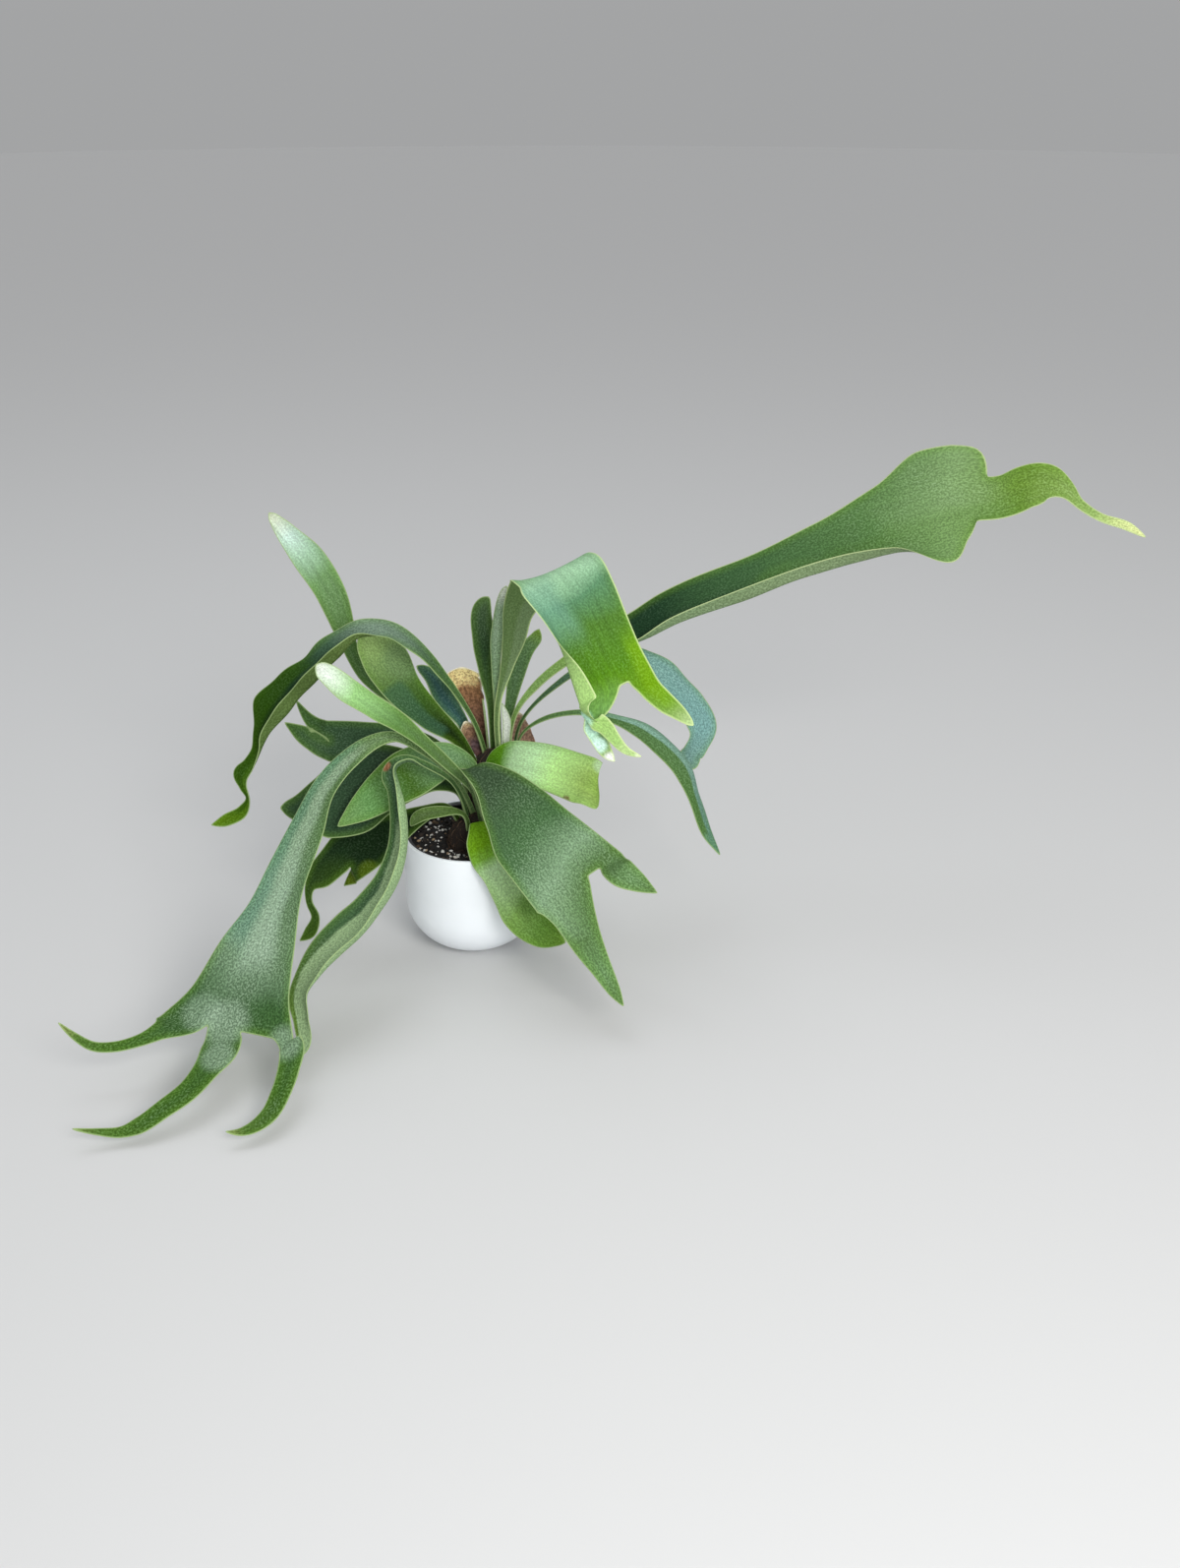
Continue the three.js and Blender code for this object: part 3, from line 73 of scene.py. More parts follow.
# Each row of a blade holds x, y, z of its middle, its half width to the left and to the right, the way its
# upper face looks, and how far the left and the right margin turn up in degrees. A row leaves out its last
# numbers where they are those of the row before. A lobe grows from a share of the last row of what carries
# it, from -1 at the left margin to 1 at the right one, and blend is how far it takes to part from it. bend
# says how the left and the right margin's turn grows, wave is the margins' swing, wave length and phase,
# tip is how round the end is, and columns is what the number of columns is a multiple of.
FRONDS = {
    "frond_long_right": {"bend": [2, [0.5, 0.85]], "wave": [1.5, 110, 0], "rows": [
        [33, 34, 158, 2.6, 2.6, -0.5, -0.6, 0.5, 10, 10],
        [44, 36, 215, 3, 3, -0.6, -0.6, 0.4, 20, 20],
        [60, 39, 234, 4.5, 4.5, -0.5, -0.6, 0.5],
        [84, 43, 253, 5.5, 5.5, -0.4, -0.65, 0.6, 20, 25],
        [120, 50, 272, 8, 10, -0.3, -0.7, 0.6, 15, 50],
        [147, 52, 283, 15, 21, -0.3, -0.7, 0.6, 15, 100],
        [177, 54, 300, 17, 28, -0.3, -0.7, 0.6, 15, 140],
        [245, 56, 330, 17, 34, -0.3, -0.7, 0.6, 10, 155],
        [312, 56, 358, 22, 38, -0.25, -0.75, 0.6, 10, 140],
        [362, 54, 379, 34, 45, -0.2, -0.8, 0.6, 5, 100],
        [402, 50, 393, 53, 55, -0.2, -0.8, 0.6, 0, 20],
        [424, 48, 400, 51, 36, -0.2, -0.8, 0.6, 0, -10],
        [437, 47, 402, 46, 23, -0.1, -0.8, 0.6, 0, 30],
        [445, 45, 402, 21, 21, 0, -0.8, 0.6, 0, 40],
        [460, 42, 406, 19, 20, 0, -0.8, 0.6, 0, 20],
        [477, 38, 414, 20, 19, 0.1, -0.8, 0.6, 0, 10],
        [494, 34, 418, 17, 15, 0.3, -0.8, 0.5, 0, 0],
        [507, 30, 413, 11, 8, 0.5, -0.8, 0.4],
        [519, 26, 403, 5, 5, 0.4, -0.8, 0.5, 20, 20],
        [538, 22, 392, 4, 4, 0.3, -0.8, 0.6, 30, 30],
        [557, 16, 387, 4.5, 4.5, 0.2],
        [573, 10, 379, 1.2, 1.2, 0.2, -0.8, 0.6, 10, 10]]},
    "frond_blue_right": {"bend": [1, 2], "wave": [1.5, 40, 0], "tip": 0.3, "rows": [
        [38, 38, 141, 2.4, 2.4, -0.6, -0.4, 0.6, 10, 10],
        [46, 42, 198, 2.4, 2.4, -0.6, -0.4, 0.6, 20, 20],
        [72, 44, 227, 3.2, 3.2, -0.5, -0.45, 0.7],
        [90, 44, 241, 4.5, 4.5, -0.4, -0.5, 0.8],
        [118, 38, 257, 7, 7, -0.2, -0.5, 0.8, 10, 10],
        [144, 31, 264, 11, 12, 0.1, -0.6, 0.8, 0, 0],
        [160, 26, 259, 14, 15, 0.4, -0.65, 0.65, -10, 20],
        [177, 20, 246, 17, 18, 0.6, -0.7, 0.4, -10, 70],
        [195, 12, 224, 18, 16, 0.7, -0.7, 0.1, 0, 60],
        [203, 12, 202, 21, 10, 0.5, -0.85, 0.1, 0, 20],
        [201, 13, 183, 12, 12, 0.3, -0.9, 0.2],
        [198, 14, 171, 9, 12, 0.1, -0.9, 0.2, 10, 30],
        [203, 14, 163, 7, 5]]},
    "frond_low_right": {"wave": [1, 50, 0], "rows": [
        [39, 26, 148, 2.3, 2.3, -0.7, -0.3, 0.7, 10, 10],
        [49, 22, 196, 2.3, 2.3, -0.7, -0.3, 0.7, 20, 20],
        [66, 18, 209, 3, 3, -0.4, -0.4, 0.8],
        [96, 14, 217, 3.6, 3.6, 0, -0.4, 0.9, 10, 10],
        [127, 8, 215, 6, 6, 0.2, -0.4, 0.9, -30, -30],
        [153, 2, 208, 10, 11, 0.3, -0.45, 0.85, -45, -45],
        [176, -6, 194, 13, 14, 0.5, -0.5, 0.7, -50, -50],
        [194, -12, 173, 13, 14, 0.7, -0.5, 0.5],
        [202, -18, 148, 10, 9, 0.8, -0.55, 0.2, -40, -40],
        [212, -22, 118, 7, 7, 0.7, -0.6, 0.3, -30, -30],
        [224, -25, 95, 1, 1, 0.7, -0.6, 0.4, 0, 0]]},
    "frond_pale_right": {"wave": [1.5, 60, 1], "tip": 0.2, "rows": [
        [18, 15, 151, 3, 3, -0.2, -0.8, 0.4, 10, 10],
        [17, 11, 165, 5, 5, -0.3, -0.7, 0.5, 15, 15],
        [22, 7, 174, 9, 9, -0.3, -0.7, 0.6],
        [32, 2, 179, 15, 14, -0.1, -0.7, 0.7, 10, 10],
        [55, -5, 178, 19, 20, 0.1, -0.75, 0.7, 0, 0],
        [84, -14, 173, 22, 23, 0.2, -0.8, 0.6, -10],
        [102, -21, 168, 24, 24, 0.4, -0.8, 0.5, -15],
        [112, -24, 164, 24, 23, 0.9, -0.5, 0.3, -10],
        [115, -19, 158, 21, 19, 1, 0.1, 0.2, 0]]},
    "frond_arching_front": {"bend": [2, [0.57, 0.79]], "wave": [1, 90, 0], "columns": 8, "rows": [
        [26, 22, 164, 2.6, 2.6, 0.3, 0.9, 0.1, 10, 10],
        [26, 18, 227, 3, 3, 0.3, 0.9, 0.1, 20, 20],
        [35, 14, 259, 5, 7, 0.3, 0.9, 0.2, 35, 25],
        [42, 7, 289, 10, 12, 0.4, 0.85, 0.3, 40, 30],
        [47, -3, 319, 13, 15, 0.4, 0.8, 0.4, 30, 20],
        [58, -16, 343, 20, 19, 0.1, 0.5, 0.8, 10, 10],
        [67, -32, 358, 31, 27, -0.15, 0.3, 0.9],
        [78, -52, 368, 36, 32, -0.35, -0.1, 1, 5, 20],
        [87, -72, 368, 35, 37, -0.3, -0.5, 0.85, 0, 35],
        [98, -88, 357, 32, 38, -0.1, -0.8, 0.55, 0, 55],
        [110, -101, 338, 29, 42, 0.1, -0.9, 0.35, 0, 90],
        [121, -111, 317, 28, 49, 0.1, -0.9, 0.35, 0, 140],
        [131, -118, 297, 29, 55, 0.1, -0.9, 0.35, 0, 165]], "lobes": [
        {"from": [-1, -0.25], "rows": [
            [154, -121, 296, 10, 8.5, 0.1, -0.9, 0.4, 5, 0],
            [165, -124, 287, 8.5, 8.5, 0.15],
            [177, -127, 278, 6.5, 6],
            [189, -129, 268, 2, 2, 0.2, -0.9, 0.4, 0]]},
        {"from": [0, 1], "bend": [1, [0, 0.35]], "rows": [
            [102, -128, 276, 11, 20, 0.1, -0.9, 0.3, 0, 175]], "lobes": [
            {"from": [-1, 0], "rows": [
                [110, -125, 266, 9, 9, -0.1, -0.9, 0.3, 0, 10],
                [114, -126, 256, 7.5, 7.5, -0.2],
                [120, -127, 244, 5.5, 5.5, -0.3],
                [127, -128, 236, 1.5, 1.5, -0.3, -0.9, 0.3, 0, 0]]},
            {"from": [0, 1], "rows": [
                [118, -134, 270, 7.5, 7.5, 0.2, 0.95, 0, 0, 0],
                [126, -135, 260, 5.5, 5.5],
                [135, -136, 250, 3.8, 3.8],
                [148, -138, 245, 1, 1]]}]}]},
    "frond_left_arch": {"bend": [[0.4, 0.8], 1], "wave": [1.5, 36, 0], "rows": [
        [13, 30, 164, 2.6, 2.6, 0.5, -0.5, 0.5, 10, 10],
        [6, 28, 194, 2.8, 2.8, 0.6, -0.5, 0.5, 20, 20],
        [-13, 24, 234, 4, 4, 0.6, -0.5, 0.6],
        [-31, 20, 262, 6.5, 6, 0.5, -0.5, 0.7, 15],
        [-51, 16, 284, 9, 9, 0.3, -0.5, 0.8, 20, 15],
        [-73, 12, 297, 13, 11, 0, -0.5, 0.9, 40, 10],
        [-94, 6, 296, 17, 12, -0.2, -0.5, 0.85, 100],
        [-114, 0, 284, 25, 14, -0.3, -0.6, 0.75, 145],
        [-134, -6, 266, 29, 16, -0.4, -0.6, 0.65, 160, 0],
        [-154, -12, 247, 30, 21, -0.4, -0.65, 0.6],
        [-168, -17, 230, 27, 25, -0.5, -0.7, 0.5, 150],
        [-178, -21, 213, 18, 11, -0.6, -0.7, 0.4, 130, 10],
        [-183, -24, 197, 8, 6, -0.6, -0.75, 0.3, 80],
        [-190, -26, 184, 7, 8, -0.5, -0.8, 0.3, 50],
        [-196, -28, 174, 6, 12, -0.5, -0.8, 0.3, 40],
        [-196, -30, 167, 4, 5, -0.4, -0.8, 0.3, 30, 20],
        [-192, -32, 155, 3.5, 3.5, -0.7, -0.6, -0.1, 30, 30],
        [-198, -33, 143, 6, 6, -0.4, -0.8, 0.5, 20, 20],
        [-211, -34, 136, 7, 6, -0.3, -0.8, 0.6],
        [-227, -34, 130, 1, 1, -0.3, -0.8, 0.6, 0, 0]]},
    "frond_upper_left": {"wave": [1, 70, 0], "rows": [
        [3, 42, 142, 2.3, 2.3, 0.6, -0.3, 0.6, 10, 10],
        [-28, 56, 186, 2.3, 2.3, 0.5, -0.4, 0.8, 20, 20],
        [-61, 66, 197, 2.6, 2.6, 0.4, -0.5],
        [-85, 72, 212, 5, 5, 0.6, -0.6, 0.5],
        [-102, 74, 233, 8, 8, 0.5, -0.7, 0.4],
        [-111, 74, 254, 8, 8, 0.5, -0.7, 0.3],
        [-116, 73, 275, 10, 11, 0.4, -0.8, 0.2],
        [-124, 70, 308, 14, 14, 0.3, -0.9],
        [-139, 64, 341, 14.5, 14.5, 0.3, -0.9, 0.3],
        [-157, 58, 368, 10, 10, 0.2, -0.9, 0.3, 30, 30],
        [-169, 52, 388, 3, 3, 0.2, -0.9, 0.3, 20, 20]]},
    "frond_broad_left": {"wave": [1.5, 60, 0], "rows": [
        [5, 23, 158, 3, 3, 0.4, -0.5, 0.7, 10, 10],
        [-12, 24, 190, 10, 6, 0.4, -0.6, 0.6, 15, 15],
        [-34, 28, 212, 20, 9, 0.4, -0.7, 0.6, 10, 10],
        [-54, 33, 234, 24, 13, 0.4, -0.7, 0.6, 5, 5],
        [-72, 38, 256, 24, 20, 0.3, -0.75],
        [-84, 42, 272, 19, 20],
        [-95, 45, 286, 8, 8]]},
    "frond_teal_left": {"wave": [0.5, 50, 0], "rows": [
        [-1, 36, 142, 2.3, 2.3, 0.6, -0.5, 0.4, 10, 10],
        [-8, 43, 193, 6, 6, 0.4, -0.6, 0.6],
        [-25, 53, 214, 10, 10, 0.3, -0.7],
        [-39, 59, 236, 7, 7, 0.3, -0.8, 0.5],
        [-50, 61, 243, 2.5, 2.5]]},
    "frond_white_tipped": {"bend": [1, 2], "wave": [0.5, 60, 0], "tip": 0.6, "rows": [
        [13, -6, 118, 2.4, 2.4, 0.4, -0.6, 0.7, 10, 10],
        [1, -16, 159, 4, 4, 0.5, -0.6, 0.6, 20, 40],
        [-17, -24, 184, 6, 6, 0.5, -0.6, 0.6, 20, 60],
        [-37, -34, 211, 7, 7],
        [-55, -44, 235, 11, 8, 0.4, -0.7, 0.6, 20, 50],
        [-74, -54, 255, 14, 8],
        [-92, -64, 273, 14, 9, 0.3, -0.8],
        [-106, -70, 288, 11, 8, 0.2, -0.8, 0.6, 20, 40],
        [-116, -74, 297, 7, 5]]},
    "frond_large_left": {"wave": [1.5, 90, 0], "columns": 12, "rows": [
        [4, -2, 118, 3, 3, 0.4, -0.5, 0.7, 10, 10],
        [-16, -13, 170, 3, 3, 0.5, -0.5, 0.7, 30, 30],
        [-42, -24, 199, 3.5, 3.5, 0.4],
        [-63, -34, 215, 6, 6, 0, -0.55, 0.85, 20, 20],
        [-81, -46, 214, 9, 9, -0.4, -0.6, 0.7, 15, 10],
        [-99, -58, 203, 12, 12, -0.5, -0.6, 0.6, 15, 5],
        [-115, -73, 187, 14, 14, -0.5, -0.7, 0.5],
        [-131, -94, 160, 20, 17, -0.45, -0.75],
        [-142, -120, 136, 23, 20, -0.4, -0.7, 0.6],
        [-153, -147, 113, 27, 24, -0.3, -0.6, 0.75],
        [-164, -175, 91, 35, 32, -0.2, -0.6, 0.8, 10],
        [-172, -203, 67, 43, 43, -0.2, -0.6, 0.8, 5],
        [-179, -226, 46, 54, 60, -0.1, -0.6, 0.8, 0]], "lobes": [
        {"from": [0.33, 1], "blend": 22, "rows": [
            [-235, -233, 48, 7, 9.5, -0.2, -0.6, 0.8, 0, 0],
            [-250, -238, 44, 5.5, 5.5],
            [-267, -243, 42, 4.6, 4.6],
            [-284, -245, 44, 4, 4, -0.1],
            [-296, -246, 54, 3, 3, 0.1],
            [-307, -246, 67, 0.8, 0.8, 0.3, -0.6, 0.7]]},
        {"from": [-0.17, 0.33], "rows": [
            [-185, -241, 39, 17, 16, -0.2, -0.6, 0.8, 0, 0],
            [-193, -262, 33, 12, 11],
            [-203, -279, 27, 10, 9.5],
            [-219, -293, 21, 9, 8],
            [-235, -304, 14, 8, 7, -0.1, -0.5, 0.85],
            [-247, -309, 11, 5, 5, 0],
            [-265, -313, 14, 3, 3],
            [-282, -317, 20, 0.8, 0.8, 0.2, -0.5, 0.8]]},
        {"from": [-1, -0.67], "rows": [
            [-129, -242, 44, 11, 11, -0.1, -0.6, 0.8, 0, 0],
            [-128, -262, 33, 9, 9],
            [-131, -279, 25, 8.5, 9, -0.2, -0.5],
            [-138, -296, 17, 8, 8, -0.2, -0.4, 0.9],
            [-150, -307, 13, 6, 5, -0.1],
            [-158, -311, 12, 3.5, 3.5, 0],
            [-168, -314, 15, 0.8, 0.8]]}]},
    "frond_twisted": {"wave": [0.8, 50, 0], "rows": [
        [-2, -9, 117, 2.5, 2.5, 0.4, -0.4, 0.8, 10, 10],
        [-18, -25, 172, 4, 4, 0.4, -0.3, 0.8, 30, 30],
        [-38, -35, 189, 6, 6, 0.2, -0.2, 0.9, 50, 50],
        [-52, -45, 197, 7, 10, -0.3, 0, 0.9, 60, 60],
        [-59, -54, 194, 6, 17, -0.8, 0.1, 0.5, 60, 70],
        [-56, -62, 186, 6, 20, -0.9, 0, 0.1, 65, 75],
        [-50, -72, 167, 13, 22, -0.9, -0.2, 0, 70],
        [-48, -86, 146, 16, 22, -0.9, -0.3, 0.1],
        [-54, -106, 118, 20, 26, -0.85, -0.3, 0.3, 70, 70],
        [-67, -126, 101, 22, 30, -0.8, -0.3, 0.5, 70, 60],
        [-83, -146, 88, 22, 32, -0.7, -0.4, 0.6, 70, 50],
        [-99, -162, 79, 22, 30, -0.7, -0.4, 0.6, 70, 45],
        [-114, -178, 69, 16, 24, -0.7, -0.4, 0.6, 65, 40],
        [-125, -192, 57, 11, 16, -0.6, -0.4, 0.6, 60, 30],
        [-124, -207, 43, 9, 10, -0.5, -0.4, 0.6, 40],
        [-123, -220, 28, 7, 6, -0.3, -0.5, 0.6, 20, 20],
        [-126, -226, 20, 2, 2, -0.3, -0.5, 0.6, 10, 10]]},
    "frond_bright_left": {"wave": [1, 70, 0], "rows": [
        [7, 12, 149, 3, 3, 0.5, -0.6, 0.3, 10, 10],
        [-3, 9, 171, 8, 8, 0.3, -0.6, 0.7, 15, 15],
        [-17, 4, 178, 14, 14, 0.1, -0.7, 0.7, 10, 10],
        [-34, -5, 177, 21, 20, 0, -0.75, 0.7, 5, 5],
        [-53, -17, 171, 24, 24, -0.2, -0.8, 0.6],
        [-73, -31, 163, 20, 20, -0.3, -0.8, 0.5, 0, 0],
        [-92, -43, 151, 13, 13, -0.4, -0.8, 0.4],
        [-112, -54, 139, 1.5, 1.5]]},
    "frond_dark_left": {"wave": [1, 70, 0], "rows": [
        [-4, 4, 115, 3, 3, 0.2, -0.5, 0.8, 10, 10],
        [-12, 3, 146, 5, 5, 0.2, -0.5, 0.8, 15, 15],
        [-28, 0, 156, 9, 9, 0.1, -0.7, 0.7, 10, 10],
        [-52, -5, 161, 20, 26, -0.1, -0.8, 0.6, 5, 5],
        [-78, -12, 160, 29, 36, -0.2, -0.85, 0.5],
        [-105, -19, 154, 38, 34, -0.2, -0.85, 0.5, 0, 0],
        [-132, -25, 149, 34, 20],
        [-152, -28, 145, 14, 10],
        [-166, -28, 144, 4, 4]]},
    "frond_under_left": {"wave": [1, 60, 0], "rows": [
        [-10, -3, 115, 2.6, 2.6, 0, -0.5, 0.8, 10, 10],
        [-22, -7, 134, 4, 4, 0, -0.5, 0.8, 20, 20],
        [-44, -11, 128, 9, 9, -0.2, -0.7, 0.7, 10, 10],
        [-72, -16, 113, 17, 18, -0.4, -0.75, 0.5, 0, 0],
        [-96, -21, 99, 22, 26, -0.5, -0.75, 0.4],
        [-112, -25, 89, 23, 27]], "lobes": [
        {"from": [-0.35, 1], "rows": [
            [-134, -30, 79, 15, 15, -0.5, -0.75, 0.4, 0, 0],
            [-145, -34, 67, 6, 6],
            [-146, -37, 54, 3.5, 3.5, -0.3, -0.85, 0.3],
            [-141, -40, 39, 4, 4, 0, -0.9, 0.2],
            [-146, -42, 26, 6, 6, -0.4],
            [-157, -43, 16, 1, 1, -0.4, -0.9, 0.3]]},
        {"from": [-1, -0.35], "rows": [
            [-106, -28, 74, 7, 7, -0.5, -0.75, 0.4, 0, 0],
            [-115, -30, 66, 1, 1]]}]},
    "frond_antler_left": {"wave": [1, 60, 0], "rows": [
        [-3, 19, 136, 2.6, 2.6, 0.6, -0.5, 0.3, 10, 10],
        [-33, 25, 182, 5, 5, 0.3, -0.5, 0.7, 20, 20],
        [-70, 25, 192, 9, 9, 0.1, -0.7, 0.7, 10, 10],
        [-100, 21, 190, 16, 15, -0.2, -0.8, 0.6, 5, 5],
        [-127, 17, 188, 20, 20, -0.2, -0.8, 0.6, 0, 0]], "lobes": [
        {"from": [0, 1], "rows": [
            [-139, 16, 207, 7, 6, -0.1, -0.85, 0.5, 0, 0],
            [-152, 14, 229, 1, 1]]},
        {"from": [-1, 0], "rows": [
            [-145, 13, 194, 9, 9, -0.2, -0.85, 0.5, 0, 0],
            [-163, 9, 210, 1, 1]]}]},
    "frond_narrow_front": {"wave": [0.5, 50, 0], "tip": 0.8, "rows": [
        [-1, -22, 112, 2.2, 2.2, 0.2, -0.5, 0.8, 10, 10],
        [-6, -24, 136, 3, 3, 0.1, -0.4, 0.9, 20, 20],
        [-27, -28, 140, 7, 6, 0, -0.5, 0.85],
        [-45, -32, 136, 8, 7, -0.4, -0.5, 0.7],
        [-51, -35, 129, 4, 4, -0.8, -0.4, 0.4]]},
    "frond_forked_front": {"wave": [1, 90, 0], "columns": 8, "rows": [
        [12, -16, 117, 2.6, 2.6, 0.3, 0.4, 0.7, 10, 10],
        [3, -27, 162, 3.5, 3.5, 0.4, 0.3, 0.8, 20, 20],
        [-2, -35, 184, 6, 6, 0.3, 0, 0.9],
        [7, -43, 188, 11, 12, 0.1, -0.3, 0.9, 10, 10],
        [26, -53, 181, 17, 22, 0, -0.6, 0.8, 5, 5],
        [46, -69, 165, 27, 33, 0.1, -0.7, 0.7, 0, 0],
        [66, -90, 147, 35, 42, 0.1, -0.75, 0.65],
        [96, -123, 121, 47, 41]], "lobes": [
        {"from": [-1, -0.5], "rows": [
            [134, -125, 135, 11, 15, 0.1, -0.75, 0.65, 0, 0],
            [147, -129, 127, 8, 10],
            [163, -133, 118, 0.8, 0.8]]},
        {"from": [-0.25, 1], "rows": [
            [94, -138, 95, 20, 16, 0.1, -0.75, 0.6, 0, 0],
            [106, -150, 79, 13, 14],
            [118, -161, 62, 8, 10, 0.1, -0.8, 0.5],
            [128, -169, 45, 5, 6],
            [135, -173, 33, 0.8, 0.8]]}]},
    "frond_lower_front": {"wave": [3, 38, 0], "rows": [
        [11, -22, 110, 2.6, 2.6, 0, -0.9, 0.3, 10, 10],
        [9, -27, 126, 5, 5, 0, -0.8, 0.4],
        [9, -33, 132, 8, 8, 0, -0.5, 0.8],
        [11, -41, 129, 11, 11, 0, -0.3, 0.9, 5, 5],
        [14, -48, 122, 14, 16, 0, -0.6, 0.8],
        [20, -62, 113, 17, 17, 0.1, -0.8, 0.5, 0, 0],
        [28, -70, 99, 18, 14, 0.2, -0.9, 0.3],
        [39, -77, 82, 20, 16],
        [46, -80, 72, 18, 19, 0.2, -0.9, 0.4],
        [53, -82, 62, 17, 18],
        [67, -85, 51, 13, 15],
        [86, -88, 42, 2, 2]]},
    "frond_dark_upright": {"wave": [0.5, 70, 0], "rows": [
        [19, 33, 166, 2.6, 2.6, 0, -0.9, 0.1, 10, 10],
        [18, 34, 216, 3.5, 3.5, 0, -0.9, 0.1, 20, 20],
        [15, 38, 246, 7, 6, -0.1],
        [13, 40, 276, 10, 11, -0.2],
        [13, 36, 303, 10, 11, -0.2, -0.8, 0.4, 10, 10],
        [20, 30, 319, 5, 6, -0.2, -0.7, 0.6]]},
    "frond_curled_upright": {"wave": [0.4, 70, 0], "rows": [
        [25, 30, 165, 2.4, 2.4, 0.3, -0.9, 0.1, 10, 10],
        [24, 28, 230, 3.5, 3.5, 0.3, -0.9, 0.1, 30, 30],
        [23, 28, 262, 6, 6, 0.5, -0.8, 0.1, 60, 60],
        [25, 26, 292, 8, 8],
        [30, 20, 318, 8, 8, 0.4, -0.8, 0.2],
        [36, 12, 336, 3, 3, 0.2, -0.8, 0.4, 40, 40]]},
    "frond_back_upright": {"wave": [0.5, 50, 0], "rows": [
        [29, 41, 155, 2.4, 2.4, -0.2, -0.9, 0.2, 10, 10],
        [35, 46, 211, 5, 5],
        [43, 51, 239, 9, 6],
        [52, 54, 262, 8, 6],
        [58, 56, 272, 5, 7],
        [62, 57, 280, 2, 2]]},
}

SHIELDS = {
    "shield_tall": {"wave": [1.4, 15, 0], "tip": 0.15, "columns": 8, "rows": [
        [14, 49, 134, 5, 5, 0, -1, 0.1, 30, 30],
        [8, 50, 180, 6, 6, 0, -1, 0.1, 60, 60],
        [3, 51, 205, 10, 11],
        [-3, 51, 228, 15, 16, 0, -1, 0.05],
        [-7, 49, 240, 18, 19, 0, -0.97, -0.2, 55, 55],
        [-7, 46, 248, 17, 18, 0, -0.9, -0.4, 50, 36]]},
    "shield_curled": {"wave": [1.3, 10, 0], "tip": 0.5, "columns": 6, "rows": [
        [9, 34, 158, 3, 3, 0, -1, 0.1, 20, 20],
        [5, 36, 175, 7, 6, 0, -1, 0.2, 60, 60],
        [-1, 37, 187, 11, 9, 0, -0.9, 0.4, 80, 70],
        [-6, 37, 199, 10, 8, 0, -0.8, 0.5]]},
    "shield_low": {"wave": [1.2, 11, 0], "tip": 1, "columns": 6, "rows": [
        [33, 45, 138, 7, 7, 0.1, -1, 0.1, 10, 10],
        [45, 50, 163, 13, 13, 0.1, -1, 0.1, 30, 30],
        [44, 52, 184, 9, 9],
        [39, 51, 203, 4, 4, 0.1, -1, 0.1, 20, 20]]},
}

YOUNG = {
    "young_frond_rear": {"columns": 4, "rows": [
        [31, 26, 160, 2.2, 2.2, 0, -1, 0.1, 20, 20],
        [32, 23, 190, 4, 4, 0, -1, 0.1, 40, 40],
        [33, 21, 206, 4.2, 4.2],
        [29, 20, 224, 0.8, 0.8, 0, -1, 0.1, 20, 20]]},
    "young_stalk_rear": {"columns": 2, "rows": [
        [15, 37, 162, 1.2, 1.2, 0, -1, 0.1, 10, 10],
        [13, 36, 198, 1.1, 1.1],
        [11, 35, 222, 0.8, 0.8]]},
    "young_bud_front": {"columns": 4, "rows": [
        [19, -10, 114, 1.8, 1.8, 0, -1, 0.1, 20, 20],
        [19, -11, 132, 3, 3, 0, -1, 0.1, 40, 40],
        [18, -11, 147, 0.8, 0.8, 0, -1, 0.1, 20, 20]]},
}

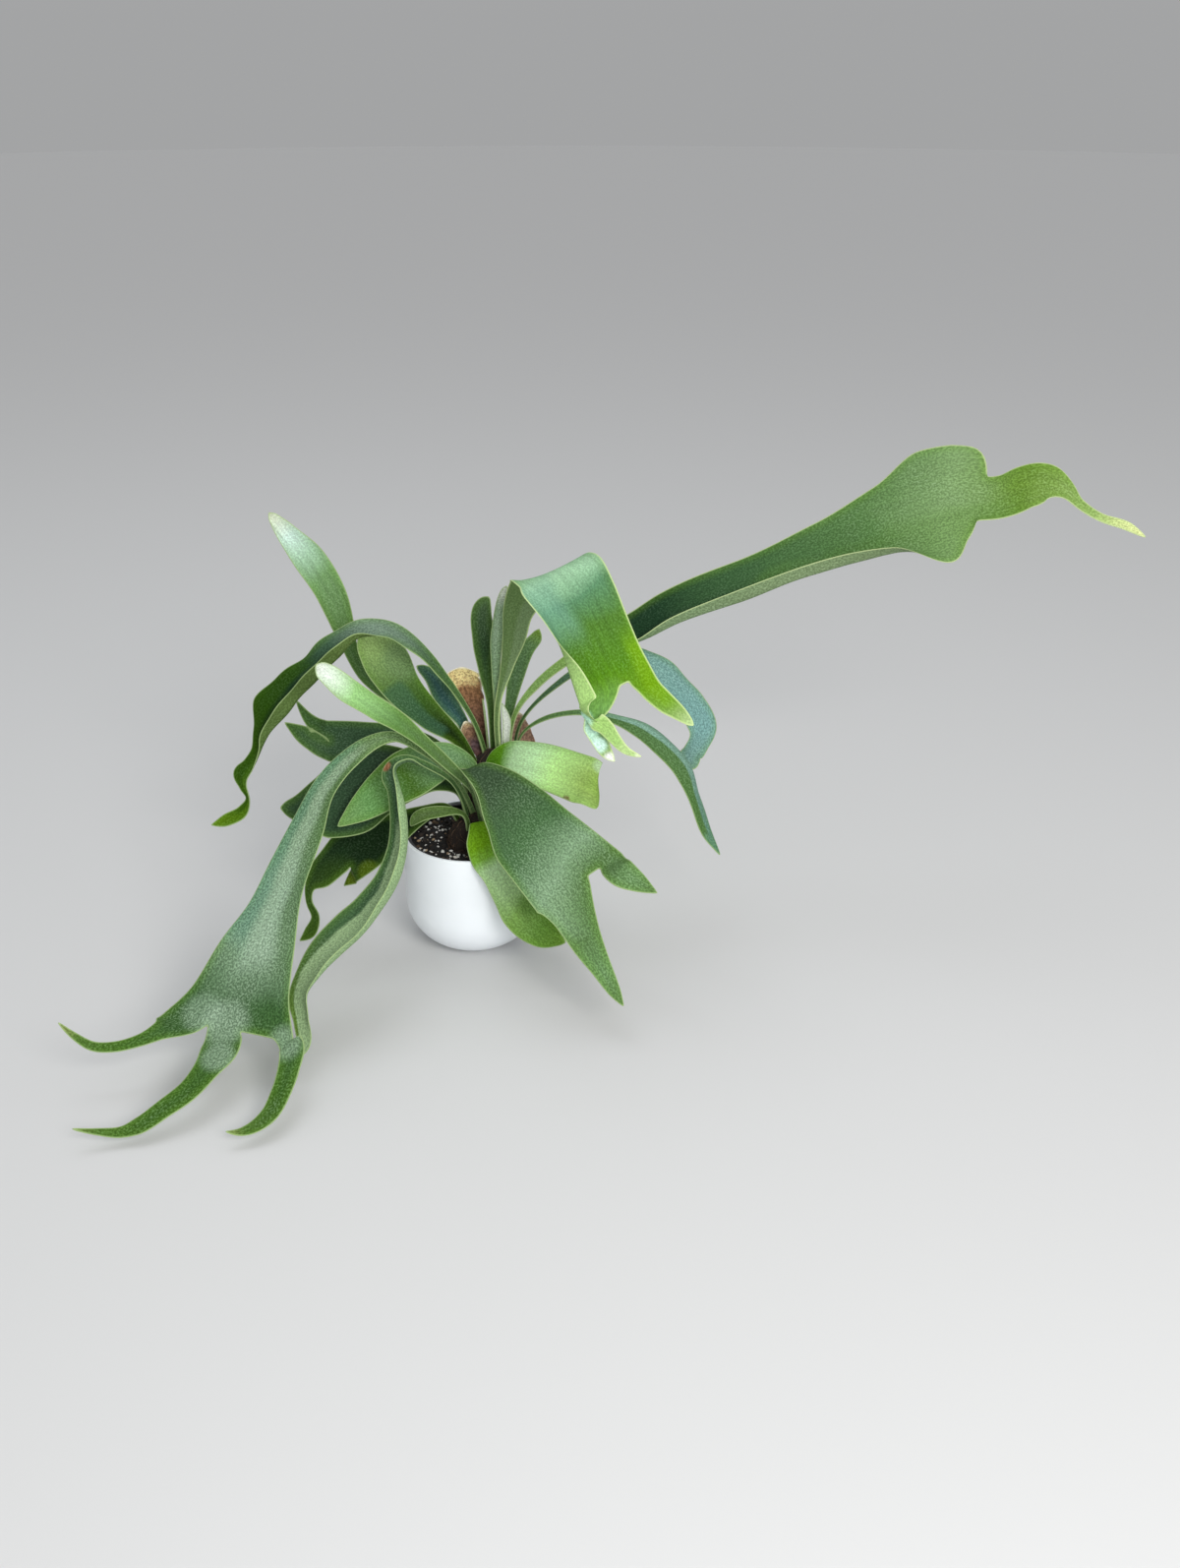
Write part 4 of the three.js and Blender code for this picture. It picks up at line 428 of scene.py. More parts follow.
# Colours are linear light: a share and its red, green and blue. top runs from the foot of a frond to its
# tips, and under is the lower face. Each of bands and below holds the shares across and along that it lies
# between, its colour and its strength. Each of spots holds its centre and radius in millimetres, its colour
# and its strength.
FELT_GREEN = (0.46, 0.55, 0.44)
MARGIN_GREEN = (0.14, 0.3, 0.02)
RIM_GREEN = (0.34, 0.46, 0.2)
GLAZE = (0.9, 0.94, 0.985)
GLAZE_PALE = (0.915, 0.955, 1.0)
GLAZE_SPECK = (0.5, 0.47, 0.42)
LOOKS = {
    "frond_long_right": {
        "top": [(0, 0.12, 0.24, 0.05), (0.12, 0.34, 0.55, 0.17), (0.2, 0.28, 0.46, 0.12),
            (0.26, 0.009, 0.034, 0.012), (0.32, 0.01, 0.04, 0.015), (0.47, 0.045, 0.113, 0.038),
            (0.64, 0.09, 0.195, 0.055), (0.74, 0.2, 0.33, 0.13), (0.83, 0.135, 0.255, 0.03),
            (0.92, 0.33, 0.48, 0.15), (1, 0.9, 0.95, 0.45)],
        "under": [(0, 0.165, 0.25, 0.13), (0.9, 0.2, 0.28, 0.13), (1, 0.7, 0.75, 0.4)], "felt": 0.5,
        "rim": (0.5, 0.6, 0.3),
        "bands": [((0.3, 1), (0.5, 0.8), (0.1, 0.22, 0.035), 0.35)]},
    "frond_blue_right": {
        # The blue-green of the outer half of top is partly a painted reflection of bluish sky light.
        "top": [(0, 0.03, 0.07, 0.03), (0.27, 0.035, 0.08, 0.035), (0.42, 0.1, 0.2, 0.14),
            (0.6, 0.17, 0.33, 0.29), (0.87, 0.19, 0.37, 0.35), (1, 0.17, 0.31, 0.26)],
        "under": [(0, 0.1, 0.22, 0.05), (1, 0.1, 0.22, 0.05)], "felt": 0.6},
    "frond_low_right": {
        "top": [(0, 0.08, 0.16, 0.05), (0.35, 0.1, 0.2, 0.08), (0.51, 0.25, 0.44, 0.34),
            (0.8, 0.15, 0.29, 0.22), (1, 0.08, 0.2, 0.14)],
        "under": [(0, 0.08, 0.18, 0.05), (1, 0.08, 0.18, 0.05)], "felt": 0.5,
        "bands": [((0.22, 1), (0.42, 0.9), (0.07, 0.16, 0.03), 0.9)], "soft": 0.15},
    "frond_pale_right": {
        "top": [(0, 0.05, 0.16, 0.004), (0.27, 0.1, 0.27, 0.008), (0.36, 0.42, 0.64, 0.34),
            (0.5, 0.5, 0.78, 0.4), (0.66, 0.5, 0.82, 0.28), (0.87, 0.3, 0.46, 0.11), (1, 0.24, 0.42, 0.05)],
        "under": [(0, 0.3, 0.45, 0.2), (1, 0.5, 0.65, 0.4)], "felt": 0.3, "grain": 0.2, "streak": 0.1,
        # The first spot lightens the folded-over flap at the end: partly its own paler tone, partly a
        # painted highlight where the fold faces the light.
        "spots": [((115, -7, 173), 10, (0.48, 0.68, 0.38), 0.85),
            ((86, -34, 155), 5, (0.14, 0.08, 0.04), 0.8)]},
    "frond_arching_front": {
        # The pale bluish stop at 0.62 is a painted highlight where the crest catches the light.
        "top": [(0, 0.06, 0.12, 0.04), (0.45, 0.08, 0.17, 0.05), (0.56, 0.2, 0.4, 0.18),
            (0.62, 0.42, 0.7, 0.43), (0.68, 0.105, 0.25, 0.125), (0.74, 0.08, 0.2, 0.025),
            (0.82, 0.085, 0.235, 0.006), (0.88, 0.13, 0.29, 0.008), (0.92, 0.17, 0.32, 0.05),
            (0.96, 0.32, 0.47, 0.16), (1, 0.62, 0.78, 0.42)],
        "under": [(0, 0.15, 0.24, 0.085), (0.58, 0.16, 0.26, 0.09), (0.7, 0.36, 0.57, 0.18),
            (1, 0.42, 0.66, 0.22)], "felt": 0.25, "grain": 0.2, "streak": 0.12, "rim": (0.6, 0.74, 0.34),
        "edging": 1.9, "shine": 0.05,
        # The first band, bluish over the right half, is a painted highlight of bluish sky light on the lit
        # half of the blade.
        "bands": [((0.45, 1), (0.64, 0.72), (0.2, 0.42, 0.3), 0.5),
            ((0.1, 1), (0.89, 0.94), (0.2, 0.42, 0.14), 0.55),
            ((-1, -0.78), (0.82, 0.9), (0.18, 0.38, 0.004), 0.75)], "fade": 0.07,
        "below": [((-1, -0.25), (0.3, 0.56), (0.26, 0.36, 0.2), 0.42)],
        # The pale blue spots, from (102, -131, 274) down the inner lobe, are a painted highlight of bluish
        # sky light.
        "spots": [((118, -134, 270), 11, (0.38, 0.62, 0.18), 0.95),
            ((126, -135, 260), 10, (0.4, 0.64, 0.2), 0.95), ((136, -136, 250), 9, (0.5, 0.7, 0.28), 0.95),
            ((148, -138, 245), 7, (0.85, 0.9, 0.7), 0.9), ((102, -131, 274), 10, (0.48, 0.8, 0.6), 0.95),
            ((107, -127, 261), 10, (0.56, 0.87, 0.68), 0.95),
            ((114, -127, 250), 9, (0.68, 0.97, 0.84), 0.95),
            ((124, -127, 238), 8, (0.97, 0.98, 0.95), 0.95)]},
    "frond_left_arch": {
        "top": [(0, 0.05, 0.09, 0.035), (0.3, 0.06, 0.12, 0.06), (0.43, 0.17, 0.25, 0.18),
            (0.52, 0.055, 0.115, 0.065), (0.62, 0.014, 0.044, 0.017), (0.75, 0.014, 0.046, 0.003),
            (0.86, 0.035, 0.1, 0.004), (1, 0.1, 0.2, 0.002)],
        "under": [(0, 0.08, 0.12, 0.03), (1, 0.1, 0.17, 0.045)], "felt": 0.4, "shine": 0.05,
        "bands": [((0.3, 1), (0.6, 0.92), (0.026, 0.078, 0.002), 0.8)]},
    "frond_upper_left": {
        "top": [(0, 0.05, 0.11, 0.04), (0.6, 0.12, 0.24, 0.07), (0.76, 0.18, 0.34, 0.13),
            (0.84, 0.36, 0.56, 0.38), (0.92, 0.62, 0.82, 0.72), (1, 0.88, 0.9, 0.72)],
        "under": [(0, 0.1, 0.2, 0.06), (1, 0.6, 0.7, 0.5)], "felt": 0.5, "grain": 0.2, "streak": 0.16},
    "frond_broad_left": {
        "top": [(0, 0.008, 0.02, 0.002), (0.28, 0.01, 0.026, 0.003), (0.49, 0.043, 0.105, 0.014),
            (0.62, 0.085, 0.17, 0.04), (0.78, 0.19, 0.31, 0.1), (1, 0.36, 0.52, 0.17)],
        "under": [(0, 0.1, 0.16, 0.06), (1, 0.2, 0.3, 0.12)], "felt": 0.4, "shine": 0.05,
        "bands": [((-1, -0.35), (0.3, 0.62), (0.05, 0.13, 0.075), 0.6)],
        "spots": [((-60, 42, 256), 24, (0.16, 0.26, 0.11), 0.6)]},
    "frond_teal_left": {
        "top": [(0, 0.015, 0.05, 0.04), (0.45, 0.05, 0.14, 0.14), (0.75, 0.035, 0.1, 0.09),
            (1, 0.03, 0.08, 0.08)],
        "under": [(0, 0.05, 0.1, 0.06), (1, 0.06, 0.12, 0.07)], "felt": 0.4},
    "frond_white_tipped": {
        "top": [(0, 0.07, 0.12, 0.05), (0.35, 0.095, 0.165, 0.065), (0.61, 0.125, 0.26, 0.072),
            (0.82, 0.35, 0.64, 0.24), (0.93, 0.82, 0.95, 0.8), (1, 0.95, 0.95, 0.93)],
        "under": [(0, 0.12, 0.2, 0.08), (0.7, 0.3, 0.45, 0.22), (1, 0.9, 0.92, 0.88)], "felt": 0.3,
        "grain": 0.15, "streak": 0.1},
    "frond_large_left": {
        # The pale stretch of top from 0.6 to 0.7 is partly a painted highlight, where the blade curves to
        # face the light.
        "top": [(0, 0.18, 0.28, 0.12), (0.32, 0.16, 0.26, 0.11), (0.47, 0.16, 0.28, 0.12),
            (0.6, 0.22, 0.35, 0.21), (0.7, 0.2, 0.32, 0.19), (0.79, 0.048, 0.12, 0.035),
            (0.9, 0.045, 0.12, 0.014), (0.97, 0.06, 0.13, 0.02), (1, 0.3, 0.34, 0.12)],
        "under": [(0, 0.2, 0.3, 0.13), (1, 0.16, 0.26, 0.09)], "felt": 0.9,
        # The first band's blue-green is a painted reflection of bluish sky light down one side. The pale
        # band down the middle is whitish felt together with a painted soft highlight.
        "bands": [((0.6, 1), (0.36, 0.68), (0.1, 0.25, 0.18), 0.5),
            ((-1, -0.65), (0.36, 0.72), (0.08, 0.17, 0.05), 0.55),
            ((-0.15, 0.1), (0.36, 0.7), (0.42, 0.56, 0.42), 0.42)], "soft": 0.5,
        # The pale spots are whitish felt together with a painted soft highlight, running into the lobes'
        # roots.
        "spots": [((-167, -192, 77), 34, (0.32, 0.46, 0.32), 0.12),
            ((-203, -212, 53), 22, (0.32, 0.46, 0.32), 0.4),
            ((-184, -222, 50), 26, (0.36, 0.5, 0.36), 0.45),
            ((-185, -250, 37), 18, (0.34, 0.48, 0.34), 0.45),
            ((-133, -240, 42), 20, (0.34, 0.48, 0.34), 0.45)]},
    "frond_twisted": {
        # The dark green of top is the upper face's own tone, made darker still as painted shade; the pale
        # under ramp is the felt of the lower face.
        "top": [(0, 0.06, 0.11, 0.05), (0.34, 0.07, 0.15, 0.07), (0.46, 0.05, 0.11, 0.055),
            (0.73, 0.06, 0.13, 0.05), (1, 0.16, 0.26, 0.05)],
        "under": [(0, 0.08, 0.14, 0.06), (0.32, 0.1, 0.18, 0.08), (0.38, 0.3, 0.45, 0.22),
            (1, 0.3, 0.44, 0.22)], "felt": 0.6,
        "bands": [((-1, 0.64), (0.46, 1), (0.35, 0.5, 0.26), 0.95)], "soft": 0.12,
        "spots": [((-68, -44, 192), 6, (0.45, 0.14, 0.08), 0.7)]},
    "frond_bright_left": {
        "top": [(0, 0.12, 0.22, 0.08), (0.33, 0.18, 0.34, 0.15), (0.54, 0.065, 0.155, 0.016),
            (0.8, 0.15, 0.34, 0.1), (1, 0.2, 0.36, 0.12)],
        "under": [(0, 0.15, 0.24, 0.1), (1, 0.2, 0.3, 0.12)], "felt": 0.4},
    "frond_dark_left": {
        "top": [(0, 0.015, 0.034, 0.015), (0.69, 0.024, 0.06, 0.026), (1, 0.04, 0.09, 0.036)],
        "under": [(0, 0.05, 0.09, 0.03), (1, 0.08, 0.14, 0.06)], "felt": 0.4},
    "frond_under_left": {
        "top": [(0, 0.006, 0.02, 0.005), (0.8, 0.011, 0.034, 0.009), (1, 0.05, 0.11, 0.008)],
        "under": [(0, 0.03, 0.05, 0.02), (1, 0.06, 0.1, 0.04)], "felt": 0.5,
        "spots": [((-91, -35, 84), 13, (0.12, 0.2, 0.008), 0.85),
            ((-105, -30, 70), 13, (0.14, 0.22, 0.008), 0.9)]},
    "frond_antler_left": {
        "top": [(0, 0.03, 0.06, 0.03), (0.7, 0.05, 0.11, 0.05), (1, 0.04, 0.1, 0.03)],
        "under": [(0, 0.06, 0.1, 0.04), (1, 0.08, 0.13, 0.05)], "felt": 0.5},
    "frond_narrow_front": {
        "top": [(0, 0.05, 0.09, 0.03), (1, 0.14, 0.22, 0.075)],
        "under": [(0, 0.1, 0.16, 0.06), (1, 0.12, 0.18, 0.07)], "felt": 0.4},
    "frond_forked_front": {
        "top": [(0, 0.04, 0.08, 0.035), (0.38, 0.041, 0.08, 0.035), (0.58, 0.07, 0.16, 0.057),
            (0.71, 0.23, 0.37, 0.21), (0.8, 0.1, 0.2, 0.06), (0.91, 0.13, 0.26, 0.09),
            (1, 0.08, 0.16, 0.05)],
        "under": [(0, 0.1, 0.16, 0.06), (1, 0.2, 0.3, 0.12)], "felt": 0.7},
    "frond_lower_front": {
        "top": [(0, 0.13, 0.29, 0.005), (0.3, 0.18, 0.39, 0.006), (0.37, 0.2, 0.42, 0.04),
            (0.43, 0.42, 0.63, 0.32), (0.6, 0.33, 0.52, 0.22), (0.7, 0.22, 0.4, 0.09),
            (0.85, 0.15, 0.32, 0.045), (1, 0.17, 0.34, 0.04)],
        "under": [(0, 0.2, 0.3, 0.1), (1, 0.24, 0.34, 0.12)], "felt": 0.4, "streak": 0.12,
        "spots": [((56, -77, 75), 15, (0.1, 0.22, 0.035), 0.65),
            ((29, -57, 117), 8, (0.34, 0.56, 0.28), 0.7)]},
    "frond_dark_upright": {
        "top": [(0, 0.03, 0.06, 0.025), (0.65, 0.028, 0.07, 0.023), (0.9, 0.07, 0.13, 0.055),
            (1, 0.1, 0.18, 0.07)],
        "under": [(0, 0.08, 0.13, 0.05), (1, 0.1, 0.16, 0.06)], "felt": 0.5},
    "frond_curled_upright": {
        "top": [(0, 0.14, 0.22, 0.1), (0.5, 0.28, 0.41, 0.26), (0.84, 0.4, 0.54, 0.37),
            (0.95, 0.88, 0.88, 0.82), (1, 0.93, 0.92, 0.88)],
        "under": [(0, 0.1, 0.16, 0.06), (1, 0.2, 0.28, 0.14)], "felt": 0.7},
    "frond_back_upright": {
        "top": [(0, 0.05, 0.11, 0.045), (0.7, 0.13, 0.24, 0.11), (0.88, 0.16, 0.29, 0.12),
            (1, 0.24, 0.4, 0.05)],
        "under": [(0, 0.1, 0.16, 0.06), (1, 0.12, 0.2, 0.07)], "felt": 0.6},
    "young_frond_rear": {
        "top": [(0, 0.5, 0.6, 0.4), (0.4, 0.9, 0.93, 0.86), (1, 0.95, 0.96, 0.93)],
        "under": [(0, 0.5, 0.6, 0.4), (1, 0.9, 0.93, 0.86)], "felt": 0.9, "grain": 0,
        "silver": (0.95, 0.97, 0.93)},
    "young_stalk_rear": {
        "top": [(0, 0.2, 0.28, 0.14), (1, 0.5, 0.58, 0.4)],
        "under": [(0, 0.2, 0.28, 0.14), (1, 0.34, 0.42, 0.26)], "felt": 0.7},
    "young_bud_front": {
        "top": [(0, 0.6, 0.64, 0.44), (1, 0.93, 0.93, 0.82)],
        "under": [(0, 0.6, 0.64, 0.44), (1, 0.93, 0.93, 0.82)], "felt": 0.9, "grain": 0,
        "silver": (0.93, 0.95, 0.88)},
}

# How fine the leaf meshes are, in millimetres, before subdivision
ALONG_STEP = 3.2
ACROSS_STEP = 3.4

# Small forms that every leaf has, in millimetres. WAVE_LAG is in radians, and the right margin's. A leaf
# thins to MARGIN_SHARE of its half thickness, over MARGIN_WIDTH times that and MARGIN_EXTRA.
RIPPLE = 0.7
RIPPLE_LENGTH = 38.0
RIPPLE_ONSET = 40.0
MIDRIB = 0.5
MIDRIB_WIDTH = 2.2
MIDRIB_CLEAR = 4.0
MARGIN_SHARE = 0.45
MARGIN_WIDTH = 1.2
MARGIN_EXTRA = 0.2
LEAST_HALF = 0.4
TIP_ROUND = 1.6
TIP_LEAST = 0.04
WAVE_WIDTH = 40.0
WAVE_LENGTH = 60
WAVE_LAG = 1.3
TURN_STEPS = 16

# Leaf paint: the share of a spot's radius within which its colour is full, how far patches shift the
# colours along and the bands across, the reach in millimetres and the strength of the margin's tint, and
# the strength of the felt and how much of it the margin loses
SPOT_CORE = 0.45
PATCH_SHIFT = 0.08
BAND_SHIFT = 0.7
MARGIN_REACH = 9.0
MARGIN_TINT = 0.25
FELT_SHARE = 0.3
FELT_LOSS = 0.6


def unit(v):
    return v / np.maximum(np.linalg.norm(v, axis=-1, keepdims=True), 1e-9)


def ease(k):
    return k * k * (3 - 2 * k)


def slopes(at, values, level):
    """Slopes at the rows: free ones for places, and level ones, which never overshoot, for the rest."""
    gap = np.diff(at)[:, None]
    rise = np.diff(values, axis=0) / gap
    out = np.zeros_like(values)
    if len(values) == 2:
        out[:] = rise[0]
        return out
    if level:
        before = 2 * gap[1:] + gap[:-1]
        after = gap[1:] + 2 * gap[:-1]
        with np.errstate(divide="ignore", invalid="ignore"):
            even = (before + after) / (before / rise[:-1] + after / rise[1:])
        out[1:-1] = np.where(rise[:-1] * rise[1:] > 0, even, 0)
        out[0], out[-1] = rise[0], rise[-1]
        return out
    out[1:-1] = (rise[:-1] * gap[1:] + rise[1:] * gap[:-1]) / (gap[:-1] + gap[1:])
    out[0] = 1.5 * rise[0] - 0.5 * out[1]
    out[-1] = 1.5 * rise[-1] - 0.5 * out[-2]
    return out


def follow(at, values, slope, q):
    """Value and slope of the smooth curve through the rows at each distance in q."""
    k = np.clip(np.searchsorted(at, q, side="right") - 1, 0, len(at) - 2)
    d = (at[k + 1] - at[k])[:, None]
    x = (q - at[k])[:, None] / d
    value = (values[k] * (1 + 2 * x) * (1 - x) ** 2 + slope[k] * d * x * (1 - x) ** 2
             + values[k + 1] * x * x * (3 - 2 * x) + slope[k + 1] * d * x * x * (x - 1))
    tilt = ((values[k] - values[k + 1]) * 6 * x * (x - 1) / d + slope[k] * (1 - x) * (1 - 3 * x)
            + slope[k + 1] * x * (3 * x - 2))
    return value, tilt


def turn_at(cup, x, bend):
    """Turn at share x of a half blade: it grows as a power of x, or between the two shares in bend."""
    if isinstance(bend, list):
        return cup * ease(min(1, max(0, (x - bend[0]) / (bend[1] - bend[0]))))
    return cup * x ** bend


def section(width, cup, x, bend):
    """Sideways and upward reach, and turn, at share x of a half blade whose margin turns up by cup."""
    out = np.zeros_like(width)
    up = np.zeros_like(width)
    for i in range(TURN_STEPS):
        turn = turn_at(cup, x * (i + 0.5) / TURN_STEPS, bend)
        out += np.cos(turn)
        up += np.sin(turn)
    return width * x * out / TURN_STEPS, width * x * up / TURN_STEPS, turn_at(cup, x, bend)


def whole(rows):
    """Rows with the last numbers filled in, where a row leaves them out, from the row before."""
    full = []
    for row in rows:
        full.append([*row, *(full[-1][len(row):] if full else [])])
    return full


def stops_along(at):
    """Distances at which a strip has rows of points: at every row of its table, and evenly between."""
    stops = [0.0]
    for a, b in zip(at[:-1], at[1:]):
        count = max(1, round((b - a) / ALONG_STEP))
        stops += [a + (b - a) * (k + 1) / count for k in range(count)]
    return np.minimum(np.array(stops), at[-1] - 1e-3)


def narrowing(stops, length, last_width, tip):
    """Share of the width left at each stop, where the end is rounded over tip times half its width."""
    if tip == 0:
        return np.ones_like(stops)
    rounding = max(last_width, 0.5) / 2 * tip
    near = np.clip((stops - (length - rounding)) / rounding, 0, 1)
    return np.sqrt(np.maximum(1 - near ** 2, TIP_LEAST))


def strip(rows, shares, style, level_start=None):
    """Rows of points over a blade or a lobe. A lobe starts level with the face that carries it."""
    table = np.array(whole(rows), float)
    places, others = table[:, :3], table[:, 3:]
    at = np.concatenate([[0], np.cumsum(np.linalg.norm(np.diff(places, axis=0), axis=1))])
    free = slopes(at, places, False)
    if level_start is not None:
        free[0] -= level_start * (free[0] @ level_start)
    stops = stops_along(at)
    middle, tilt = follow(at, places, free, stops)
    rest, _ = follow(at, others, slopes(at, others, True), stops)
    shrink = narrowing(stops, at[-1], table[-1, 3] + table[-1, 4], style["tip"])
    half = np.maximum(rest[:, :2] * shrink[:, None], LEAST_HALF)
    cup = np.radians(rest[:, 5:])
    along = unit(tilt)
    side = unit(np.cross(along, unit(rest[:, 2:5])))
    face = np.cross(side, along)
    fullness = np.minimum(1, half.sum(axis=1) / WAVE_WIDTH)
    swing, period, phase = style["wave"]
    points = np.zeros((len(stops), len(shares), 3))
    normals = np.zeros_like(points)
    halves = np.zeros(points.shape[:2])
    for j, share in enumerate(shares):
        right = int(share >= 0)
        sign = 1 if right else -1
        x = abs(share)
        out, up, turn = section(half[:, right], cup[:, right], x, style["bend"][right])
        normal = face * np.cos(turn)[:, None] - side * sign * np.sin(turn)[:, None]
        lag = WAVE_LAG if share > 0 else 0
        wave = swing * fullness * x * x * np.sin(2 * math.pi * stops / period + phase + lag)
        points[:, j] = middle + side * (sign * out)[:, None] + face * up[:, None] + normal * wave[:, None]
        normals[:, j] = normal
        halves[:, j] = half[:, right]
    return {"points": points, "normals": normals, "stops": stops, "halves": halves, "length": at[-1]}


def style_of(piece):
    return {
        "wave": piece.get("wave", (0, WAVE_LENGTH, 0)),
        "bend": piece.get("bend", (1, 1)),
        "tip": 0 if "lobes" in piece else piece.get("tip", TIP_ROUND),
    }


def surface(blade):
    """The middle surface of a blade and its lobes: points, normals, facts for the paint, quads and tips."""
    points, normals, facts, quads, tips = [], [], [], [], []

    def lay(grid, start, shares, before, lanes_of):
        ids = []
        for i in range(start, len(grid["stops"])):
            first = len(points)
            points.extend(grid["points"][i])
            normals.extend(grid["normals"][i])
            run = before + grid["stops"][i]
            facts.extend((run, lane, share) for lane, share in zip(lanes_of(i), shares))
            ids.append(list(range(first, len(points))))
        return ids

    def fill(ids):
        for low, high in zip(ids[:-1], ids[1:]):
            quads.extend((low[j], low[j + 1], high[j + 1], high[j]) for j in range(len(low) - 1))

    def grow(piece, grid, ids, shares, lanes, before):
        if "lobes" not in piece:
            tips.append(grid["points"][-1].mean(axis=0))
        count = len(ids) - 1
        for lobe in piece.get("lobes", []):
            first, last = (round((edge + 1) / 2 * count) for edge in lobe["from"])
            last = max(first + 1, last)
            n = last - first
            root = grid["points"][-1][first:last + 1]
            faces = grid["normals"][-1][first:last + 1]
            below, root_lanes = shares[first:last + 1], lanes[first:last + 1]
            level = unit(faces.mean(axis=0))
            middle = (root[n // 2] + root[n - n // 2]) / 2
            half = np.linalg.norm(np.diff(root, axis=0), axis=1).sum() / 2
            own_shares = np.linspace(-1, 1, n + 1)
            start = [*middle, half, half, *level, 0, 0]
            part = strip([start, *lobe["rows"]], own_shares, style_of(lobe), level)
            k = ease(np.clip(part["stops"] / lobe.get("blend", LOBE_JOIN), 0, 1))[:, None, None]
            own = part["points"]
            centre = (own[:, n // 2] + own[:, n - n // 2])[:, None] / 2
            part["points"] = centre + (root - middle)[None] * (1 - k) + (own - centre) * k
            part["normals"] = unit(faces[None] * (1 - k) + part["normals"] * k)

            def lanes_of(i, k=k, part=part, root_lanes=root_lanes, own_shares=own_shares):
                own_lanes = root_lanes.mean() + own_shares * part["halves"][i]
                return root_lanes * (1 - k[i, 0, 0]) + own_lanes * k[i, 0, 0]

            rows = [ids[first:last + 1], *lay(part, 1, below, before, lanes_of)]
            fill(rows)
            grow(lobe, part, rows[-1], below, lanes_of(-1), before + part["length"])

    widest = max(row[3] + row[4] for row in blade["rows"])
    parts = blade.get("columns", 6)
    shares = np.linspace(-1, 1, parts * max(1, math.ceil(widest / ACROSS_STEP / parts)) + 1)
    main = strip(blade["rows"], shares, style_of(blade))

    def lanes_of_blade(i):
        return shares * main["halves"][i]

    ids = lay(main, 0, shares, 0.0, lanes_of_blade)
    fill(ids)
    grow(blade, main, ids[-1], shares, lanes_of_blade(-1), main["length"])
    return np.array(points), np.array(normals), np.array(facts), quads, np.array(tips)


def outline_of(quads):
    """The open edges of a sheet of quads."""
    edges = {(q[k], q[(k + 1) % 4]) for q in quads for k in range(4)}
    return [e for e in edges if (e[1], e[0]) not in edges]


def rim_distance(points, facts, open_edges):
    """How far each point lies from the nearest margin, leaving out the cut foot."""
    margin = [e for e in open_edges if facts[e[0], 0] > 0.1 or facts[e[1], 0] > 0.1]
    start = points[[e[0] for e in margin]]
    step = points[[e[1] for e in margin]] - start
    out = np.zeros(len(points))
    for i, p in enumerate(points):
        share = ((p - start) * step).sum(axis=1) / np.maximum((step * step).sum(axis=1), 1e-9)
        share = np.clip(share, 0, 1)
        out[i] = np.linalg.norm(start + step * share[:, None] - p, axis=1).min()
    return out


def thicken(points, normals, facts, quads, thin, rim):
    """A closed solid round the middle surface, thick near its foot, and thinner towards its margins."""
    count = len(points)
    stem = 1 - ease(np.clip(facts[:, 0] / PETIOLE_LENGTH, 0, 1))
    half = (thin + (PETIOLE - thin) * stem) / 2
    margin = MARGIN_WIDTH * half + MARGIN_EXTRA
    rounded = MARGIN_SHARE + (1 - MARGIN_SHARE) * np.sqrt(np.clip(rim / margin, 0, 1))
    clear = np.clip(rim / MIDRIB_CLEAR, 0, 1)
    rib = MIDRIB * np.exp(-(facts[:, 1] / MIDRIB_WIDTH) ** 2) * clear * (1 - stem)
    top = points + normals * (half * rounded)[:, None]
    bottom = points - normals * (half * rounded + rib)[:, None]
    faces = []
    for a, b, c, d in quads:
        faces.append((a, b, c, d))
        faces.append((a + count, d + count, c + count, b + count))
    for a, b in outline_of(quads):
        faces.append((b, a, a + count, b + count))
    return np.concatenate([top, bottom]), faces


def rippled(points, normals, facts, seed):
    """Moves the surface along its normals by soft noise, and leaves the stem as it is."""
    out = points.copy()
    shift = Vector((seed * 3.7, seed * 1.3, 0))
    for i, p in enumerate(points):
        free = ease(min(1, max(0, (facts[i, 0] - PETIOLE_LENGTH) / RIPPLE_ONSET)))
        out[i] += normals[i] * RIPPLE * free * noise.noise(Vector(p / RIPPLE_LENGTH) + shift)
    return out


def mesh_object(name, points, faces, facts=None):
    """A mesh object in metres from points in millimetres, with named numbers on its points."""
    mesh = bpy.data.meshes.new(name)
    mesh.from_pydata((np.asarray(points) * MM).tolist(), [], faces)
    for key, values in (facts or {}).items():
        layer = mesh.attributes.new(key, "FLOAT", "POINT")
        layer.data.foreach_set("value", np.asarray(values, np.float32))
    mesh.validate()
    mesh.update()
    obj = bpy.data.objects.new(name, mesh)
    bpy.context.scene.collection.objects.link(obj)
    return obj


def shade_smooth(obj):
    obj.data.polygons.foreach_set("use_smooth", [True] * len(obj.data.polygons))
    obj.data.update()


def outward(obj):
    """Turns every face of a closed mesh the right way out."""
    work = bmesh.new()
    work.from_mesh(obj.data)
    bmesh.ops.recalc_face_normals(work, faces=work.faces)
    work.to_mesh(obj.data)
    work.free()


def applied(obj, kind, **settings):
    """Adds one modifier and keeps its result as the mesh."""
    modifier = obj.modifiers.new(kind.title(), kind)
    for key, value in settings.items():
        setattr(modifier, key, value)
    seen = obj.evaluated_get(bpy.context.evaluated_depsgraph_get())
    mesh = bpy.data.meshes.new_from_object(seen)
    obj.modifiers.clear()
    old = obj.data
    obj.data = mesh
    bpy.data.meshes.remove(old)
    mesh.name = obj.name
    return obj


def joined(name, objects):
    """Several mesh objects as one."""
    for other in bpy.context.selected_objects:
        other.select_set(False)
    for obj in objects:
        obj.select_set(True)
    bpy.context.view_layer.objects.active = objects[0]
    bpy.ops.object.join()
    objects[0].name = name
    objects[0].data.name = name
    return objects[0]


